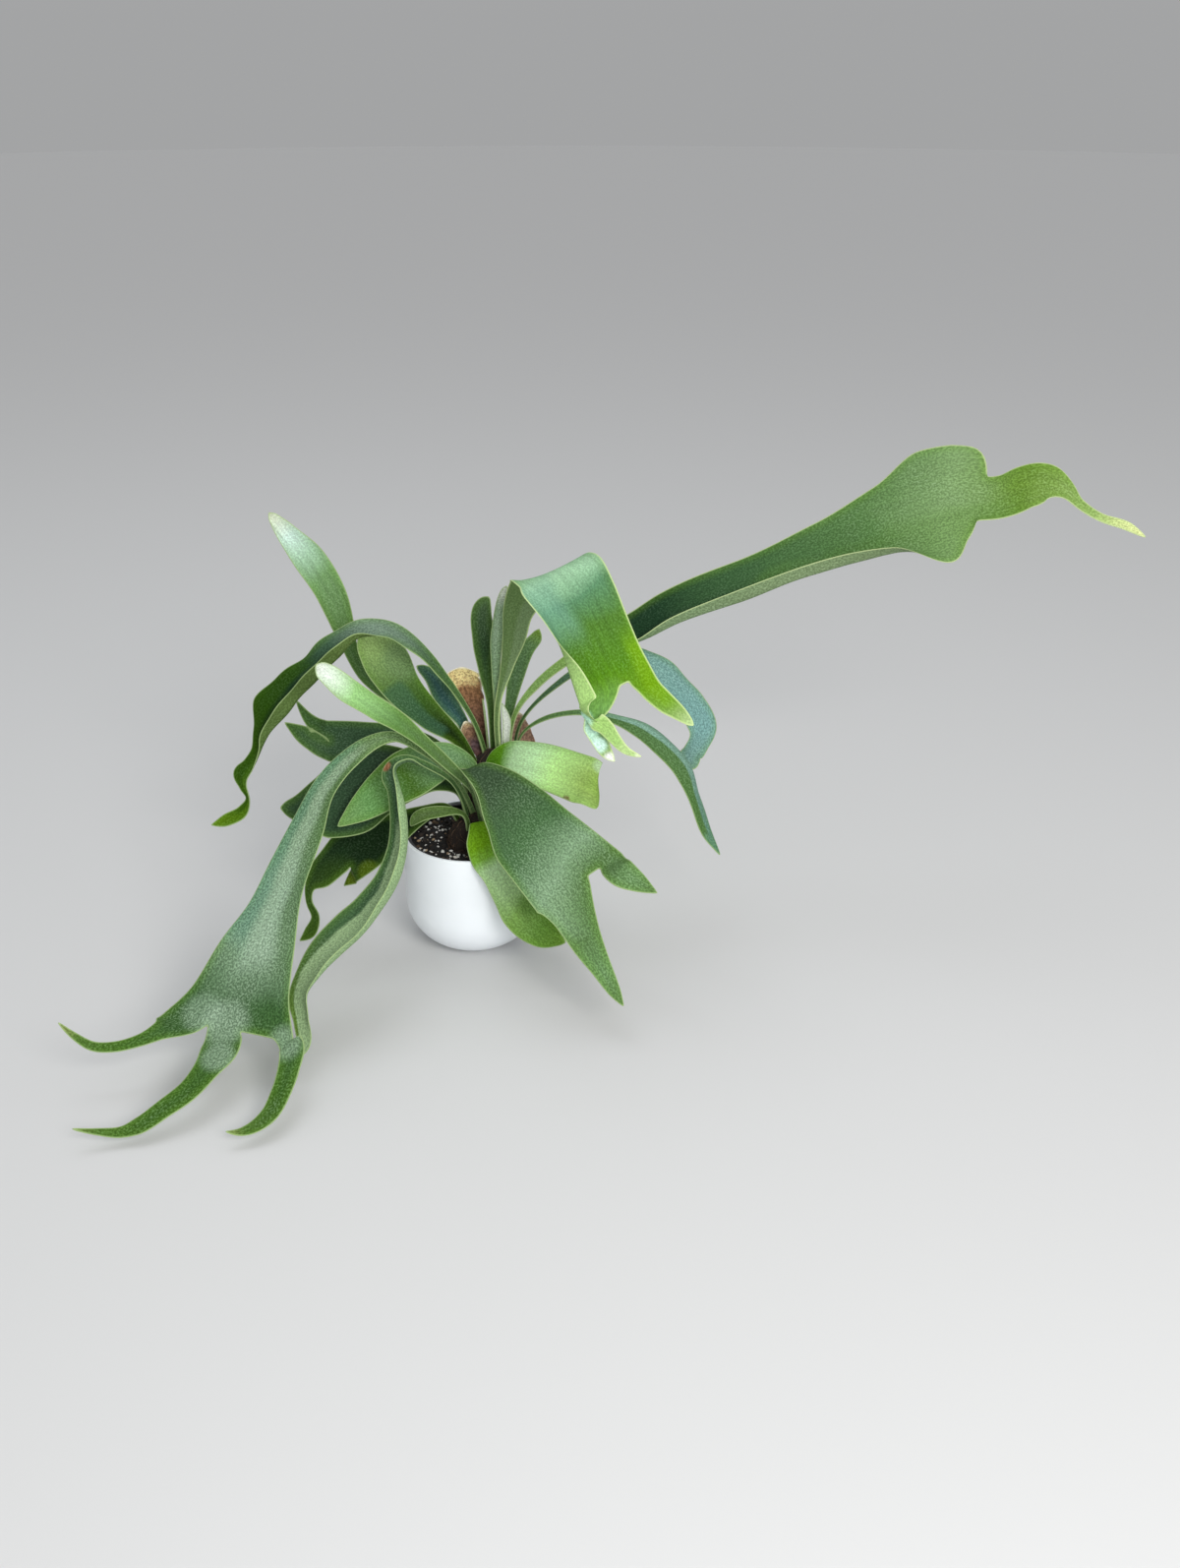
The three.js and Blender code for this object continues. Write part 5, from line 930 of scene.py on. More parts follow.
class Paint:
    """A material made of nodes. Inputs are numbers, colours or the sockets of other nodes."""

    def __init__(self, name):
        self.material = bpy.data.materials.new(name)
        self.material.use_nodes = True
        self.tree = self.material.node_tree
        self.shader = self.tree.nodes["Principled BSDF"]

    def put(self, node, key, value):
        socket = node.inputs[key]
        if isinstance(value, bpy.types.NodeSocket):
            self.tree.links.new(value, socket)
        elif socket.type == "RGBA" and len(value) == 3:
            socket.default_value = (*value, 1)
        else:
            socket.default_value = value

    def set(self, **values):
        for key, value in values.items():
            self.put(self.shader, key.replace("_", " "), value)

    def node(self, kind, inputs, **settings):
        """A new node with its own settings, and then its inputs."""
        node = self.tree.nodes.new("ShaderNode" + kind)
        for key, value in settings.items():
            setattr(node, key, value)
        for key, value in inputs.items():
            self.put(node, key, value)
        return node

    def number(self, name):
        return self.node("Attribute", {}, attribute_name=name).outputs["Fac"]

    def place(self):
        return self.node("TexCoord", {}).outputs["Object"]

    def maths(self, operation, a, b):
        return self.node("Math", {0: a, 1: b}, operation=operation).outputs[0]

    def plus(self, a, b):
        return self.maths("ADD", a, b)

    def times(self, a, b):
        return self.maths("MULTIPLY", a, b)

    def swing(self, cloud, size):
        """A cloud as a number round nothing that swings by half a size either way."""
        return self.times(self.maths("SUBTRACT", cloud, 0.5), size)

    def between(self, value, low, high, to_low=0.0, to_high=1.0):
        ends = {"Value": value, "From Min": low, "From Max": high, "To Min": to_low, "To Max": to_high}
        return self.node("MapRange", ends, interpolation_type="SMOOTHSTEP").outputs[0]

    def mixed(self, share, a, b, way="MIX"):
        return self.node("Mix", {0: share, 6: a, 7: b}, data_type="RGBA", blend_type=way).outputs[2]

    def shaded(self, colour, by):
        """A colour made lighter or darker by a number."""
        return self.mixed(1.0, colour, self.vector(by, by, by), "MULTIPLY")

    def vector(self, x, y, z=0.0):
        return self.node("CombineXYZ", {0: x, 1: y, 2: z}).outputs[0]

    def cloud(self, where, scale, detail, roughness=0.5):
        inputs = {"Vector": where, "Scale": scale, "Detail": detail, "Roughness": roughness}
        return self.node("TexNoise", inputs).outputs["Fac"]

    def within(self, value, low, high, soft):
        """1 from low to high, and down to 0 over a soft width outside; open at the ends of a leaf."""
        rise = self.between(value, low - soft, low) if low > -1 else 1.0
        fall = self.between(value, high, high + soft, 1.0, 0.0) if high < 1 else 1.0
        return self.times(rise, fall)

    def ramp(self, value, stops):
        node = self.node("ValToRGB", {"Fac": value})
        elements = node.color_ramp.elements
        while len(elements) < len(stops):
            elements.new(0.5)
        for element, (at, *colour) in zip(elements, stops):
            element.position = at
            element.color = (*colour, 1)
        return node.outputs["Color"]

    def bump(self, height, strength, distance, below=None):
        inputs = {"Height": height, "Strength": strength, "Distance": distance}
        if below is not None:
            inputs["Normal"] = below
        return self.node("Bump", inputs).outputs["Normal"]

    def grown(self):
        """How far along its leaf a place is, from 0 at the foot to 1 at the nearest tip."""
        run = self.number("run")
        return self.maths("DIVIDE", run, self.plus(self.plus(run, self.number("tip")), 0.1))


def banded(paint, colour, bands, look, across, grown):
    """Soft bands of another tone, each between two shares of the leaf's width and two of its length."""
    for (left, right), (low, high), tone, share in bands:
        wide = paint.within(across, left, right, look.get("soft", 0.35))
        long = paint.within(grown, low, high, look.get("fade", 0.05))
        colour = paint.mixed(paint.times(paint.times(wide, long), share), colour, tone)
    return colour


def spotted(paint, colour, spots, place):
    """Soft round spots, each with its centre, radius, tone and share."""
    for centre, radius, tone, share in spots:
        apart = paint.node("VectorMath", {0: place, 1: Vector(centre) * MM}, operation="DISTANCE")
        near = paint.between(apart.outputs["Value"], SPOT_CORE * radius * MM, radius * MM, share, 0.0)
        colour = paint.mixed(near, colour, tone)
    return colour


def felted(paint, colour, look, dots, place, margin):
    """Fine dark specks, and silver felt in grains and soft patches, with less of it at the margin."""
    grain = look.get("grain", look["felt"])
    speck = paint.between(dots, 0.36, 0.66, 0.78 - 0.26 * grain, 1.02 + 0.18 * grain)
    colour = paint.shaded(colour, speck)
    film = paint.cloud(place, scale=20.0, detail=4.0, roughness=0.55)
    film = paint.between(film, 0.36, 0.66, 0.15, 1.0)
    felt = paint.times(paint.between(dots, 0.48, 0.64), film)
    felt = paint.times(felt, paint.maths("SUBTRACT", 1.0, paint.times(margin, FELT_LOSS)))
    felt = paint.times(felt, paint.between(colour, 0.02, 0.2, 0.3, 1.0))
    share = paint.times(felt, FELT_SHARE * look["felt"])
    return paint.mixed(share, colour, look.get("silver", FELT_GREEN))


def leaf_paint(name, look):
    """Leaf: colour from foot to tip, felt in fine grains and soft patches, pale rim and underside."""
    paint = Paint(name)
    run, lane, rim, under = (paint.number(key) for key in ("run", "lane", "rim", "under"))
    place = paint.place()
    patches = paint.cloud(place, scale=16.0, detail=3.0)
    grown = paint.grown()
    shifted = paint.plus(grown, paint.swing(patches, PATCH_SHIFT))
    across = paint.plus(paint.number("share"), paint.swing(patches, BAND_SHIFT))
    margin = paint.between(rim, 1.0, MARGIN_REACH, 1.0, 0.0)

    along = paint.vector(paint.times(run, 0.02), paint.times(lane, 0.22))
    streak = look.get("streak", 0.06)
    streaks = paint.cloud(along, scale=1.0, detail=3.0, roughness=0.55)
    streaks = paint.between(streaks, 0.3, 0.7, 1 - streak, 1 + streak)
    top = paint.shaded(paint.ramp(shifted, look["top"]), streaks)
    top = paint.mixed(paint.times(margin, MARGIN_TINT), top, MARGIN_GREEN)
    top = banded(paint, top, look.get("bands", []), look, across, shifted)
    below = banded(paint, paint.ramp(grown, look["under"]), look.get("below", []), look, across, shifted)
    colour = paint.mixed(paint.between(under, 0.35, 0.65), top, below)
    colour = spotted(paint, colour, look.get("spots", []), place)

    grid = paint.vector(paint.times(run, 0.8), lane)
    dots = paint.cloud(grid, scale=0.66, detail=2.0, roughness=0.6)
    colour = felted(paint, colour, look, dots, place, margin)
    rimmed = paint.between(rim, 0.3, look.get("edging", 1.3), 0.75, 0.0)
    colour = paint.mixed(rimmed, colour, look.get("rim", RIM_GREEN))

    rough = paint.plus(paint.between(dots, 0.3, 0.8, 0.48, 0.66), paint.times(under, 0.15))
    fine = paint.bump(dots, strength=0.35, distance=0.0004)
    waves = paint.cloud(along, scale=1.6, detail=2.0)
    coarse = paint.bump(waves, strength=0.12, distance=0.001, below=fine)
    paint.set(Base_Color=colour, Roughness=rough, Normal=coarse)
    paint.set(Specular_IOR_Level=look.get("shine", 0.1), IOR=1.42)
    return paint.material


# body runs from foot to end. pale is where gold starts and where it is full, in millimetres from the foot
SHIELD_LOOKS = {
    "shield_tall": {"pale": (93, 106), "body": [
        (0, 0.11, 0.055, 0.035), (0.5, 0.21, 0.11, 0.07), (0.75, 0.3, 0.155, 0.075), (1, 0.5, 0.3, 0.13)]},
    "shield_curled": {"pale": (34, 47), "body": [
        (0, 0.16, 0.06, 0.03), (0.45, 0.14, 0.09, 0.1), (0.7, 0.3, 0.17, 0.1), (1, 0.42, 0.26, 0.18)]},
    "shield_low": {"pale": (62, 80), "body": [
        (0, 0.2, 0.1, 0.07), (0.5, 0.42, 0.24, 0.18), (1, 0.45, 0.28, 0.2)]},
}
GOLD = (0.95, 0.8, 0.38)
CREAM = (0.98, 0.93, 0.72)
VEIN_BROWN = (0.06, 0.028, 0.018)


def shield_paint(name, look):
    """Dry shield leaf: mauve-brown, golden towards its end, with a cream rim, dark veins and blotches."""
    paint = Paint(name)
    run, rim, share = (paint.number(key) for key in ("run", "rim", "share"))
    place = paint.place()
    blot = paint.cloud(place, scale=90.0, detail=5.0, roughness=0.65)
    body = paint.ramp(paint.plus(paint.grown(), paint.swing(blot, 0.4)), look["body"])
    mottle = paint.cloud(place, scale=420.0, detail=3.0, roughness=0.6)
    body = paint.shaded(body, paint.between(mottle, 0.4, 0.6, 0.65, 1.25))
    lines = paint.vector(paint.times(run, 0.06), paint.times(share, 16.0))
    veins = paint.cloud(lines, scale=1.0, detail=3.0, roughness=0.6)
    body = paint.mixed(paint.between(veins, 0.5, 0.68, 0.0, 0.5), body, VEIN_BROWN)
    low, high = look["pale"]
    end = paint.between(paint.plus(run, paint.swing(blot, 26.0)), low, high)
    fleck = paint.cloud(place, scale=520.0, detail=2.0, roughness=0.6)
    fleck = paint.between(fleck, 0.42, 0.58, 0.35, 1.0)
    colour = paint.mixed(paint.times(end, fleck), body, GOLD)
    edge = paint.times(paint.between(rim, 0.6, 3.2, 0.95, 0.0), paint.between(run, low - 12, high))
    colour = paint.mixed(edge, colour, CREAM)
    relief = paint.bump(blot, strength=0.4, distance=0.0008)
    relief = paint.bump(veins, strength=0.6, distance=0.0008, below=relief)
    paint.set(Base_Color=colour, Roughness=0.82, Normal=relief, Specular_IOR_Level=0.15)
    return paint.material


def make_leaf(name, blade, thin, paint, seed, levels=1):
    """One leaf from its table, fine enough to look smooth, in place of its solid."""
    points, normals, facts, quads, tips = surface(blade)
    rim = rim_distance(points, facts, outline_of(quads))
    tip = np.linalg.norm(points[:, None] - tips[None], axis=2).min(axis=1)
    soft = rippled(points, normals, facts, seed)
    solid, faces = thicken(soft, normals, facts, quads, thin, rim)
    numbers = {"run": facts[:, 0], "lane": facts[:, 1], "share": facts[:, 2], "rim": rim, "tip": tip}
    numbers = {key: np.tile(values, 2) for key, values in numbers.items()}
    numbers["under"] = np.repeat([0, 1], len(points))
    obj = mesh_object(name, solid, faces, numbers)
    outward(obj)
    applied(obj, "SUBSURF", levels=levels, render_levels=levels)
    shade_smooth(obj)
    obj.data.materials.append(paint)
    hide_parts(name.replace("leaf_", ""))
    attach(obj, "root")


def make_leaves():
    for seed, (name, blade) in enumerate(FRONDS.items()):
        make_leaf("leaf_" + name, blade, BLADE, leaf_paint(name, LOOKS[name]), seed)
    for seed, (name, blade) in enumerate(YOUNG.items()):
        make_leaf("leaf_" + name, blade, BLADE, leaf_paint(name, LOOKS[name]), seed, levels=2)
    for seed, (name, blade) in enumerate(SHIELDS.items()):
        paint = shield_paint(name, SHIELD_LOOKS[name])
        make_leaf("leaf_" + name, blade, SHIELD, paint, seed, levels=2)


# Pots. Lengths are in millimetres, and sides are how many faces go round
POT_SIDES = 160
LINER_SIDES = 128
LINER_RIM_OUT = 1.0
LINER_RIM_IN = 1.0
LINER_LIP_SLOPE = 0.4
LINER_FOOT_EDGE = 2.0


def turned(name, outline, steps):
    """A turned solid about +Z from radius and height pairs in millimetres, from the axis back to the axis.
    A height may be a function of x and y."""
    def point(radius, height, angle=0.0):
        x, y = radius * math.cos(angle), radius * math.sin(angle)
        return (x, y, height(x, y) if callable(height) else height)

    points = [point(*outline[0])]
    for radius, height in outline[1:-1]:
        points.extend(point(radius, height, 2 * math.pi * k / steps) for k in range(steps))
    points.append(point(*outline[-1]))
    rings = len(outline) - 2
    faces = []
    for k in range(steps):
        n = (k + 1) % steps
        faces.append((0, 1 + n, 1 + k))
        for r in range(rings - 1):
            a, b = 1 + r * steps, 1 + (r + 1) * steps
            faces.append((a + k, a + n, b + n, b + k))
        last = 1 + (rings - 1) * steps
        faces.append((last + k, last + n, len(points) - 1))
    obj = mesh_object(name, points, faces)
    outward(obj)
    shade_smooth(obj)
    return obj


def arc(centre, radius, start, end, steps):
    """Points of an arc as radius and height. Angles are in degrees from straight down, turning outwards."""
    out = []
    for k in range(steps + 1):
        angle = math.radians(start + (end - start) * k / steps)
        out.append((centre[0] + radius * math.sin(angle), centre[1] - radius * math.cos(angle)))
    return out


def make_pot():
    centre = (POT_RADIUS - FOOT_CURVE, FOOT_CURVE - FOOT_SUNK)
    start = math.degrees(math.acos(centre[1] / FOOT_CURVE))
    inner_curve = FOOT_CURVE - POT_LIP
    inner_start = math.degrees(math.acos((centre[1] - POT_FLOOR) / inner_curve))
    edge_height = POT_HEIGHT - POT_EDGE
    outline = [(0, 0), *arc(centre, FOOT_CURVE, start, 90, 24),
               *arc((POT_RADIUS - POT_EDGE, edge_height), POT_EDGE, 90, 180, 6),
               *arc((POT_RADIUS - POT_LIP + POT_EDGE, edge_height), POT_EDGE, 180, 270, 6),
               *reversed(arc(centre, inner_curve, inner_start, 90, 16)), (0, POT_FLOOR)]
    pot = turned("white_pot", outline, POT_SIDES)
    paint = Paint("white_glaze")
    place = paint.place()
    cloudy = paint.cloud(place, scale=60.0, detail=3.0)
    tone = paint.mixed(paint.between(cloudy, 0.3, 0.7), GLAZE, GLAZE_PALE)
    cells = paint.node("TexVoronoi", {"Vector": place, "Scale": 900.0}).outputs["Distance"]
    specks = paint.times(paint.between(cells, 0.0, 0.09, 0.5, 0.0), paint.between(cloudy, 0.62, 0.7))
    tone = paint.mixed(specks, tone, GLAZE_SPECK)
    waves = paint.bump(paint.cloud(place, scale=25.0, detail=1.0), strength=0.01, distance=0.0006)
    paint.set(Base_Color=tone, Roughness=paint.between(cloudy, 0.3, 0.7, 0.3, 0.34), Normal=waves)
    paint.set(Coat_Weight=0.3, Coat_Roughness=0.1, IOR=1.5)
    pot.data.materials.append(paint.material)
    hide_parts("pot")
    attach(pot, "root")


def liner_radius(height):
    """Outer radius of the nursery pot's wall."""
    foot = POT_FLOOR + GAP
    top = POT_HEIGHT - LINER_DROP - LINER_LIP
    top_radius = POT_RADIUS - POT_LIP - LINER_PLAY - LINER_RIM_OUT
    return LINER_FOOT_RADIUS + (top_radius - LINER_FOOT_RADIUS) * (height - foot) / (top - foot)


def make_liner():
    foot = POT_FLOOR + GAP
    top = POT_HEIGHT - LINER_DROP
    rim = POT_RADIUS - POT_LIP - LINER_PLAY
    inside = liner_radius(top) - LINER_WALL - LINER_RIM_IN
    lip_height = top - LINER_EDGE
    outline = [(0, foot), (LINER_FOOT_RADIUS - LINER_FOOT_EDGE, foot),
               (LINER_FOOT_RADIUS, foot + LINER_FOOT_EDGE),
               (liner_radius(top - LINER_LIP), top - LINER_LIP - LINER_LIP_SLOPE),
               (rim, top - LINER_LIP), (rim, lip_height),
               *arc((rim - LINER_EDGE, lip_height), LINER_EDGE, 90, 180, 4),
               *arc((inside + LINER_EDGE, lip_height), LINER_EDGE, 180, 270, 4),
               (liner_radius(foot + 3) - LINER_WALL, foot + LINER_WALL + 1), (0, foot + LINER_WALL)]
    liner = turned("nursery_pot_black", outline, LINER_SIDES)
    paint = Paint("black_plastic")
    scuffs = paint.cloud(paint.place(), scale=300.0, detail=4.0, roughness=0.7)
    tone = paint.mixed(paint.between(scuffs, 0.5, 0.75), (0.008, 0.008, 0.009), (0.03, 0.03, 0.033))
    paint.set(Base_Color=tone, Roughness=paint.between(scuffs, 0.3, 0.8, 0.35, 0.6),
              Normal=paint.bump(scuffs, strength=0.1, distance=0.0003))
    liner.data.materials.append(paint.material)
    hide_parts("nursery_pot")
    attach(liner, "root")


# Soil, with bark and perlite as chips. Lengths are in millimetres, and CHIP_LEAN is in radians. A chip's
# length and width are shares of its size, and its middle lies up to CHIP_LIFT of its half height up.
SOIL_RINGS = 46
SOIL_SIDES = 150
SOIL_DROP = 0.6
SOIL_GRAIN = 9.0
SOIL_ROUGH = 1.3
SOIL_FLAT_RADIUS = 40.0
SOIL_EDGE = 14.0
SOIL_SINK = 1.6
CHIP_COUNT = 300
CHIP_LONG = (0.8, 1.3)
CHIP_WIDE = (0.7, 1.1)
CHIP_LEAN = 0.6
CHIP_GRAIN = 1.7
CHIP_LIFT = 0.6


def ball(level):
    """Points and faces of a ball of triangles with a radius of 1."""
    work = bmesh.new()
    bmesh.ops.create_icosphere(work, subdivisions=level, radius=1)
    points = [v.co.copy() for v in work.verts]
    faces = [[v.index for v in f.verts] for f in work.faces]
    work.free()
    return points, faces


def lump(size, squash, seed, rough):
    """Points and faces of one small stone or chip, in millimetres round the origin."""
    points, faces = ball(2)
    rnd = random.Random(seed)
    shift = Vector((rnd.random(), rnd.random(), rnd.random())) * 50
    stretch = Vector((size * rnd.uniform(*CHIP_LONG), size * rnd.uniform(*CHIP_WIDE), size * squash))
    lean = (rnd.uniform(-CHIP_LEAN, CHIP_LEAN), rnd.uniform(-CHIP_LEAN, CHIP_LEAN))
    turn = Euler((*lean, rnd.uniform(0, 6.3))).to_matrix()
    return [turn @ (p * (1 + rough * noise.noise(p * CHIP_GRAIN + shift)) * stretch) for p in points], faces


def add_mesh(points, faces, more, sides):
    """Adds a small mesh to the points and faces of a larger one."""
    first = len(points)
    points.extend(tuple(p) for p in more)
    faces.extend([i + first for i in side] for side in sides)


def scatter(name, count, seed, size_of, squash, rough, inside, outside):
    """Many lumps as one mesh on the soil, between two distances from its middle."""
    rnd = random.Random(seed)
    points, faces, tones = [], [], []
    for k in range(count):
        size = size_of(rnd)
        radius = math.sqrt(rnd.uniform(inside ** 2, (outside - size) ** 2))
        angle = rnd.uniform(0, 2 * math.pi)
        centre = Vector((radius * math.cos(angle), radius * math.sin(angle), 0))
        centre.z = soil_height(centre.x, centre.y) + size * squash * rnd.uniform(0.0, CHIP_LIFT)
        chip, sides = lump(size, squash, seed * 1000 + k, rough)
        add_mesh(points, faces, [centre + p for p in chip], sides)
        tones.extend([rnd.random()] * len(chip))
    obj = mesh_object(name, points, faces, {"tone": tones})
    shade_smooth(obj)
    return obj


def soil_height(x, y):
    """Height of the soil's rough top, which sinks a little towards the wall."""
    coarse = noise.fractal(Vector((x / SOIL_GRAIN, y / SOIL_GRAIN, 3.1)), 0.8, 2.1, 4)
    edge = max(0.0, (math.hypot(x, y) - SOIL_FLAT_RADIUS) / SOIL_EDGE)
    return SOIL_LEVEL - SOIL_DROP + SOIL_ROUGH * coarse - SOIL_SINK * edge * edge


# Loose stuffs. grain is the scale and detail of a fine cloud. The tones follow that cloud or, where there
# is a cover, each lump's own number. The cover grows between two values of the cloud, up to a strength, in
# its own colour. relief is the strength of the bumps and their depth in metres.
STUFFS = {
    "potting_mix": {"grain": (900, 5), "rough": 0.95, "relief": (0.9, 0.0012), "tones": [
        (0.3, 0.003, 0.003, 0.003), (0.6, 0.009, 0.0075, 0.007), (0.8, 0.03, 0.022, 0.017)]},
    "bark": {"grain": (700, 4), "rough": 0.9, "relief": (0.7, 0.0008), "tones": [
        (0, 0.008, 0.006, 0.006), (0.7, 0.018, 0.013, 0.01), (0.9, 0.05, 0.03, 0.02),
        (1, 0.14, 0.09, 0.05)],
        "cover": (0.4, 0.7, 0.6, (0.01, 0.008, 0.007))},
    "perlite": {"grain": (1500, 3), "rough": 0.9, "relief": (0.6, 0.0006), "tones": [
        (0, 0.7, 0.69, 0.65), (0.7, 0.82, 0.81, 0.78), (0.82, 0.5, 0.38, 0.24), (1, 0.3, 0.2, 0.12)],
        "cover": (0.5, 0.7, 0.5, (0.35, 0.33, 0.3))},
    "root_mat": {"grain": (600, 5), "rough": 0.92, "relief": (0.8, 0.001), "tones": [
        (0, 0.016, 0.01, 0.007), (0.5, 0.05, 0.03, 0.018), (1, 0.15, 0.09, 0.055)],
        "cover": (0.4, 0.72, 0.7, (0.025, 0.014, 0.009))},
}


def stuff_paint(name):
    paint = Paint(name)
    stuff = STUFFS[name]
    crumbs = paint.cloud(paint.place(), *stuff["grain"], roughness=0.7)
    if "cover" in stuff:
        low, high, most, dark = stuff["cover"]
        own = paint.ramp(paint.number("tone"), stuff["tones"])
        tone = paint.mixed(paint.between(crumbs, low, high, 0.0, most), own, dark)
    else:
        tone = paint.ramp(crumbs, stuff["tones"])
    paint.set(Base_Color=tone, Roughness=stuff["rough"], Normal=paint.bump(crumbs, *stuff["relief"]))
    return paint.material


def make_soil():
    outer = liner_radius(SOIL_LEVEL) - LINER_WALL - 0.4
    foot = POT_FLOOR + 2 * GAP + LINER_WALL
    foot_radius = liner_radius(foot) - LINER_WALL - GAP
    outline = [(outer * r / SOIL_RINGS, soil_height) for r in range(SOIL_RINGS + 1)]
    soil = turned("potting_mix", [*outline, (foot_radius, foot), (0, foot)], SOIL_SIDES)
    bark = scatter("bark_chips", count=CHIP_COUNT, seed=SEED, size_of=lambda rnd: rnd.uniform(1.0, 2.8),
                   squash=0.5, rough=0.6, inside=18, outside=outer - 0.5)
    perlite = scatter("perlite", count=CHIP_COUNT, seed=SEED + 1,
                      size_of=lambda rnd: 0.5 + 1.6 * rnd.random() ** 2.2,
                      squash=0.75, rough=0.55, inside=16, outside=outer - 0.5)
    for part, stuff in ((soil, "potting_mix"), (bark, "bark"), (perlite, "perlite")):
        part.data.materials.append(stuff_paint(stuff))
    mix = joined("potting_mix", [soil, bark, perlite])
    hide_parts("soil")
    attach(mix, "root")


# Root mound. Lengths are in millimetres. A strand sways up and down by STRAND_SWAY round STRAND_LIFT, and
# its end is thinner by a share of STRAND_TAPER.
CORE_ROUGH = 0.5
CORE_GRAIN = 1.6
LUMP_ROUGH = 1.2
LUMP_GRAIN = 7.0
LUMP_SINK = 0.8
FIRST_LUMP_SHARE = 0.4
STRANDS = 420
STRAND_SIDES = 5
STRAND_STEP = 0.13
STRAND_STEPS = (7, 16)
STRAND_WIDTH = (0.2, 0.55)
STRAND_TAPER = 0.7
STRAND_LIFT = 0.35
STRAND_SWAY = 0.5
SWAY_RATE = 1.3


def on_lump(k, direction, lift):
    """The point of lump k's surface in a direction, lifted a little, in millimetres."""
    centre, radii = Vector(LUMPS[k]["centre"]), Vector(LUMPS[k]["radii"])
    reach = direction.normalized() * radii
    rough = LUMP_ROUGH * noise.noise(reach / LUMP_GRAIN + Vector((k * 9, 0, 0))) - LUMP_SINK
    return centre + reach + reach.normalized() * (lift + rough)


def tube(path, radii, sides):
    """Points and faces of a closed tube along a path."""
    points, faces = [], []
    for i, p in enumerate(path):
        ahead = (path[min(i + 1, len(path) - 1)] - path[max(i - 1, 0)]).normalized()
        across = ahead.orthogonal().normalized()
        other = ahead.cross(across)
        for k in range(sides):
            angle = 2 * math.pi * k / sides
            points.append(p + (across * math.cos(angle) + other * math.sin(angle)) * radii[i])
    for i in range(len(path) - 1):
        for k in range(sides):
            n = (k + 1) % sides
            a, b = i * sides, (i + 1) * sides
            faces.append((a + k, a + n, b + n, b + k))
    faces.append(tuple(range(sides))[::-1])
    faces.append(tuple(range((len(path) - 1) * sides, len(path) * sides)))
    return points, faces


def mound_core(k):
    """The body of one lump of the mound, in fine rough triangles."""
    directions, faces = ball(5)
    points = []
    for direction in directions:
        p = on_lump(k, direction, 0.0)
        p += (p - Vector(LUMPS[k]["centre"])).normalized() * CORE_ROUGH * noise.noise(p / CORE_GRAIN)
        p.z = max(p.z, SOIL_LEVEL - 4)
        points.append(tuple(p))
    return mesh_object("mound_core", points, faces, {"tone": [0.0] * len(points)})


def root_strands():
    """Thin roots that wander over the lumps, each thinner towards its end."""
    rnd = random.Random(SEED)
    points, faces, tones = [], [], []
    for strand in range(STRANDS):
        k = 0 if rnd.random() < FIRST_LUMP_SHARE else 1
        direction = Vector((rnd.gauss(0, 1), rnd.gauss(0, 1), abs(rnd.gauss(0, 0.8))))
        walk = Vector((rnd.gauss(0, 1), rnd.gauss(0, 1), rnd.gauss(-0.8, 0.5)))
        steps = rnd.randint(*STRAND_STEPS)
        path = []
        for step in range(steps):
            sway = STRAND_SWAY * math.sin(step * SWAY_RATE + strand)
            p = on_lump(k, direction, STRAND_LIFT + sway)
            p.z = max(p.z, soil_height(p.x, p.y) + 0.2)
            path.append(p)
            walk += Vector((rnd.gauss(0, 0.35), rnd.gauss(0, 0.35), rnd.gauss(0, 0.3)))
            direction = direction.normalized() + walk.normalized() * STRAND_STEP
        width = rnd.uniform(*STRAND_WIDTH)
        radii = [width * (1 - STRAND_TAPER * i / (steps - 1)) for i in range(steps)]
        some, sides = tube(path, radii, STRAND_SIDES)
        add_mesh(points, faces, some, sides)
        tones.extend([rnd.uniform(0.2, 1.0)] * len(some))
    return mesh_object("roots", points, faces, {"tone": tones})


def make_mound():
    parts = [*(mound_core(k) for k in range(len(LUMPS))), root_strands()]
    for part in parts:
        outward(part)
        shade_smooth(part)
    mound = joined("root_mat", parts)
    mound.data.materials.append(stuff_paint("root_mat"))
    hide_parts("root_mound")
    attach(mound, "root")


# Stage: pale floor and soft light, in metres. The sky is brighter overhead, so that the far floor and the
# horizon look alike.
FLOOR_RADIUS = 10.0
FLOOR_STEPS = 96
FLOOR_TONE = 0.62
SKY_LOW = 0.375
SKY_HIGH = 0.715
SKY_COLOUR = (0.98, 0.99, 1.0, 1)


def make_floor():
    turns = [2 * math.pi * k / FLOOR_STEPS for k in range(FLOOR_STEPS)]
    ring = [(FLOOR_RADIUS / MM * math.cos(turn), FLOOR_RADIUS / MM * math.sin(turn), 0) for turn in turns]
    floor = mesh_object("floor", ring, [tuple(range(FLOOR_STEPS))])
    paint = Paint("floor_plain")
    paint.set(Base_Color=(FLOOR_TONE, FLOOR_TONE, FLOOR_TONE), Roughness=0.8)
    floor.data.materials.append(paint.material)


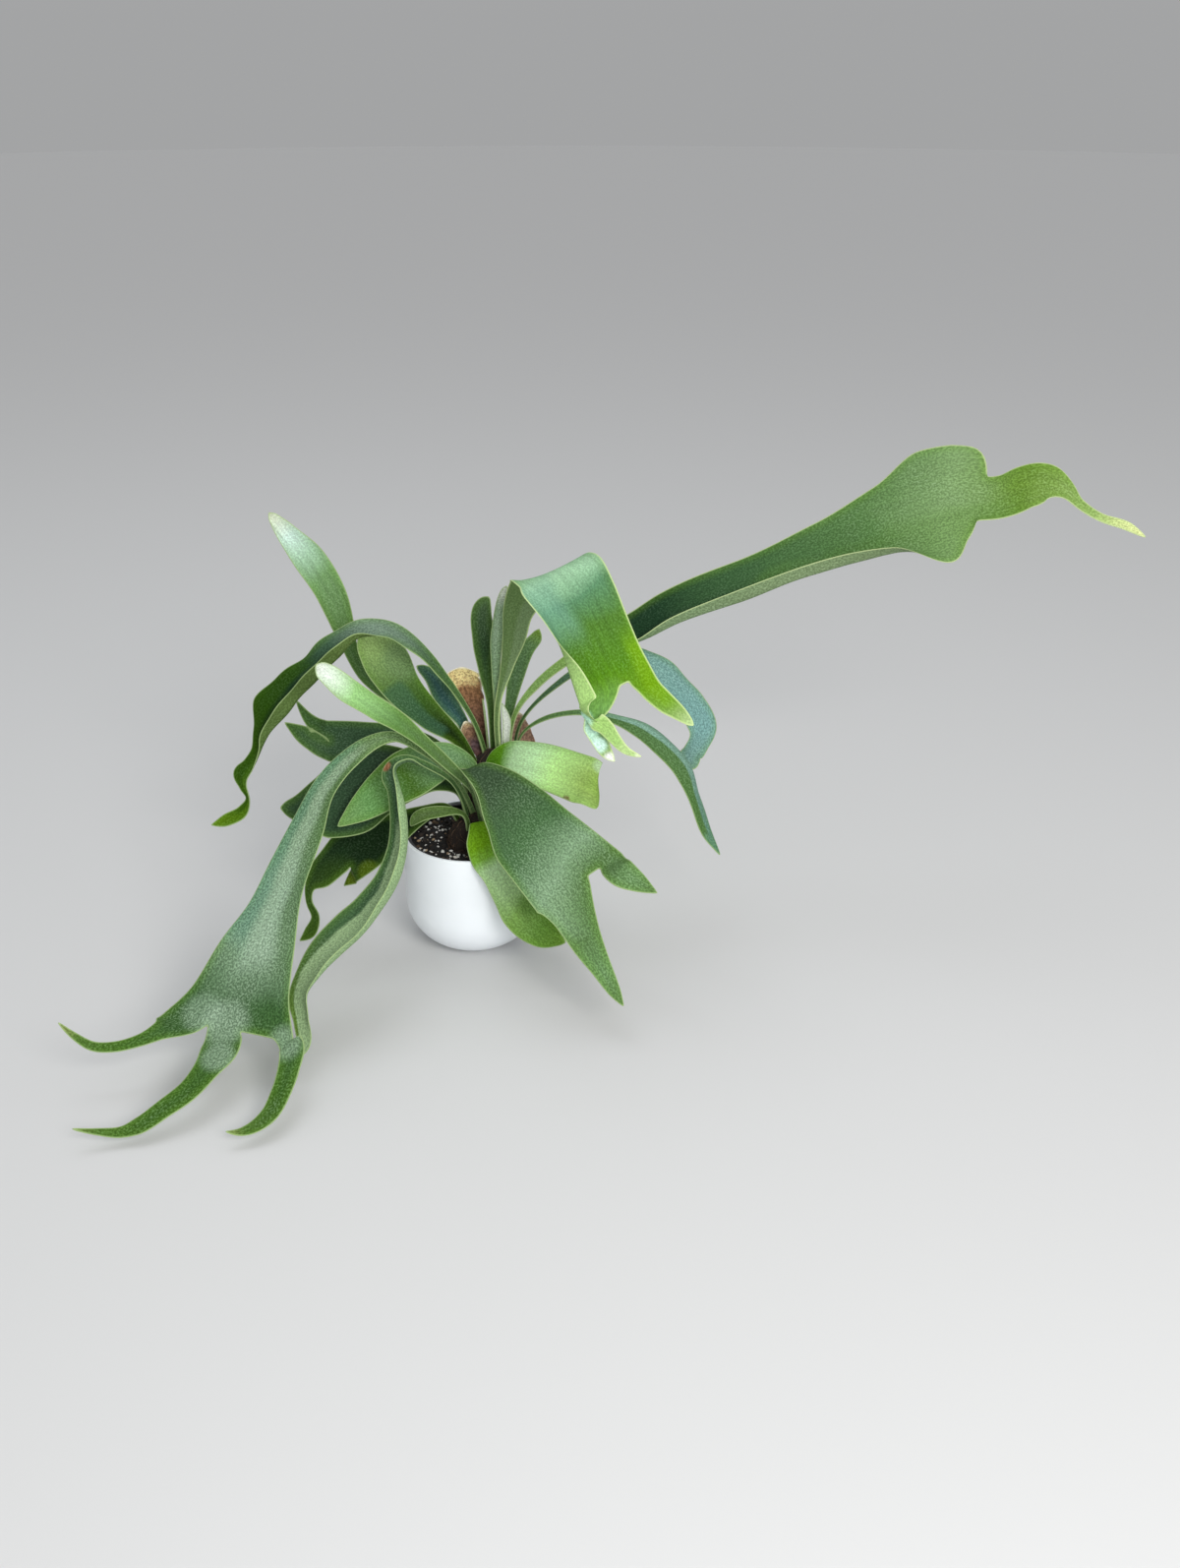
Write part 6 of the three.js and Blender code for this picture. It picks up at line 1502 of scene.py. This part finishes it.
def softbox(name, place, target, size, power, colour):
    data = bpy.data.lights.new(name, "AREA")
    data.size = size
    data.energy = power
    data.color = colour
    light = bpy.data.objects.new(name, data)
    light.location = place
    light.rotation_euler = (Vector(target) - Vector(place)).to_track_quat("-Z", "Y").to_euler()
    bpy.context.scene.collection.objects.link(light)


def make_light():
    plant, pot = (0.0, 0.0, 0.2), (0.0, 0.0, 0.08)
    softbox("key", (0.8, -1.8, 1.3), plant, size=0.9, power=30, colour=(1.0, 0.985, 0.96))
    softbox("top", (-0.3, 0.4, 2.2), plant, size=1.2, power=9, colour=(0.9, 0.96, 1.0))
    softbox("low", (0.3, -1.5, 0.35), pot, size=0.5, power=3, colour=(0.95, 0.98, 1.0))
    world = bpy.data.worlds.new("room")
    bpy.context.scene.world = world
    world.use_nodes = True
    tree = world.node_tree
    where = tree.nodes.new("ShaderNodeTexCoord")
    split = tree.nodes.new("ShaderNodeSeparateXYZ")
    level = tree.nodes.new("ShaderNodeMapRange")
    level.inputs["To Min"].default_value = SKY_LOW
    level.inputs["To Max"].default_value = SKY_HIGH
    tree.links.new(where.outputs["Generated"], split.inputs[0])
    tree.links.new(split.outputs["Z"], level.inputs["Value"])
    background = tree.nodes["Background"]
    tree.links.new(level.outputs[0], background.inputs["Strength"])
    background.inputs["Color"].default_value = SKY_COLOUR


# The view: 26 degrees down, towards +Y, with a focal length of 1600 pixels on the tall side of 1594
VIEW_PITCH = 26.0
VIEW_PLACE = (107.2, -1266.2, 771.3)
FOCAL_PIXELS = 1600.0
TALL_PIXELS = 1594.0
SENSOR = 36.0


def make_camera():
    data = bpy.data.cameras.new("camera")
    data.sensor_fit = "AUTO"
    data.sensor_width = SENSOR
    data.lens = SENSOR * FOCAL_PIXELS / TALL_PIXELS
    data.clip_start = 0.01
    data.clip_end = 100
    camera = bpy.data.objects.new("camera", data)
    camera.location = Vector(VIEW_PLACE) * MM
    camera.rotation_euler = (math.radians(90 - VIEW_PITCH), 0, 0)
    bpy.context.scene.collection.objects.link(camera)
    bpy.context.scene.camera = camera


make_camera()
make_light()
make_floor()
make_pot()
make_liner()
make_soil()
make_mound()
make_leaves()
bpy.context.scene.view_settings.view_transform = "Standard"
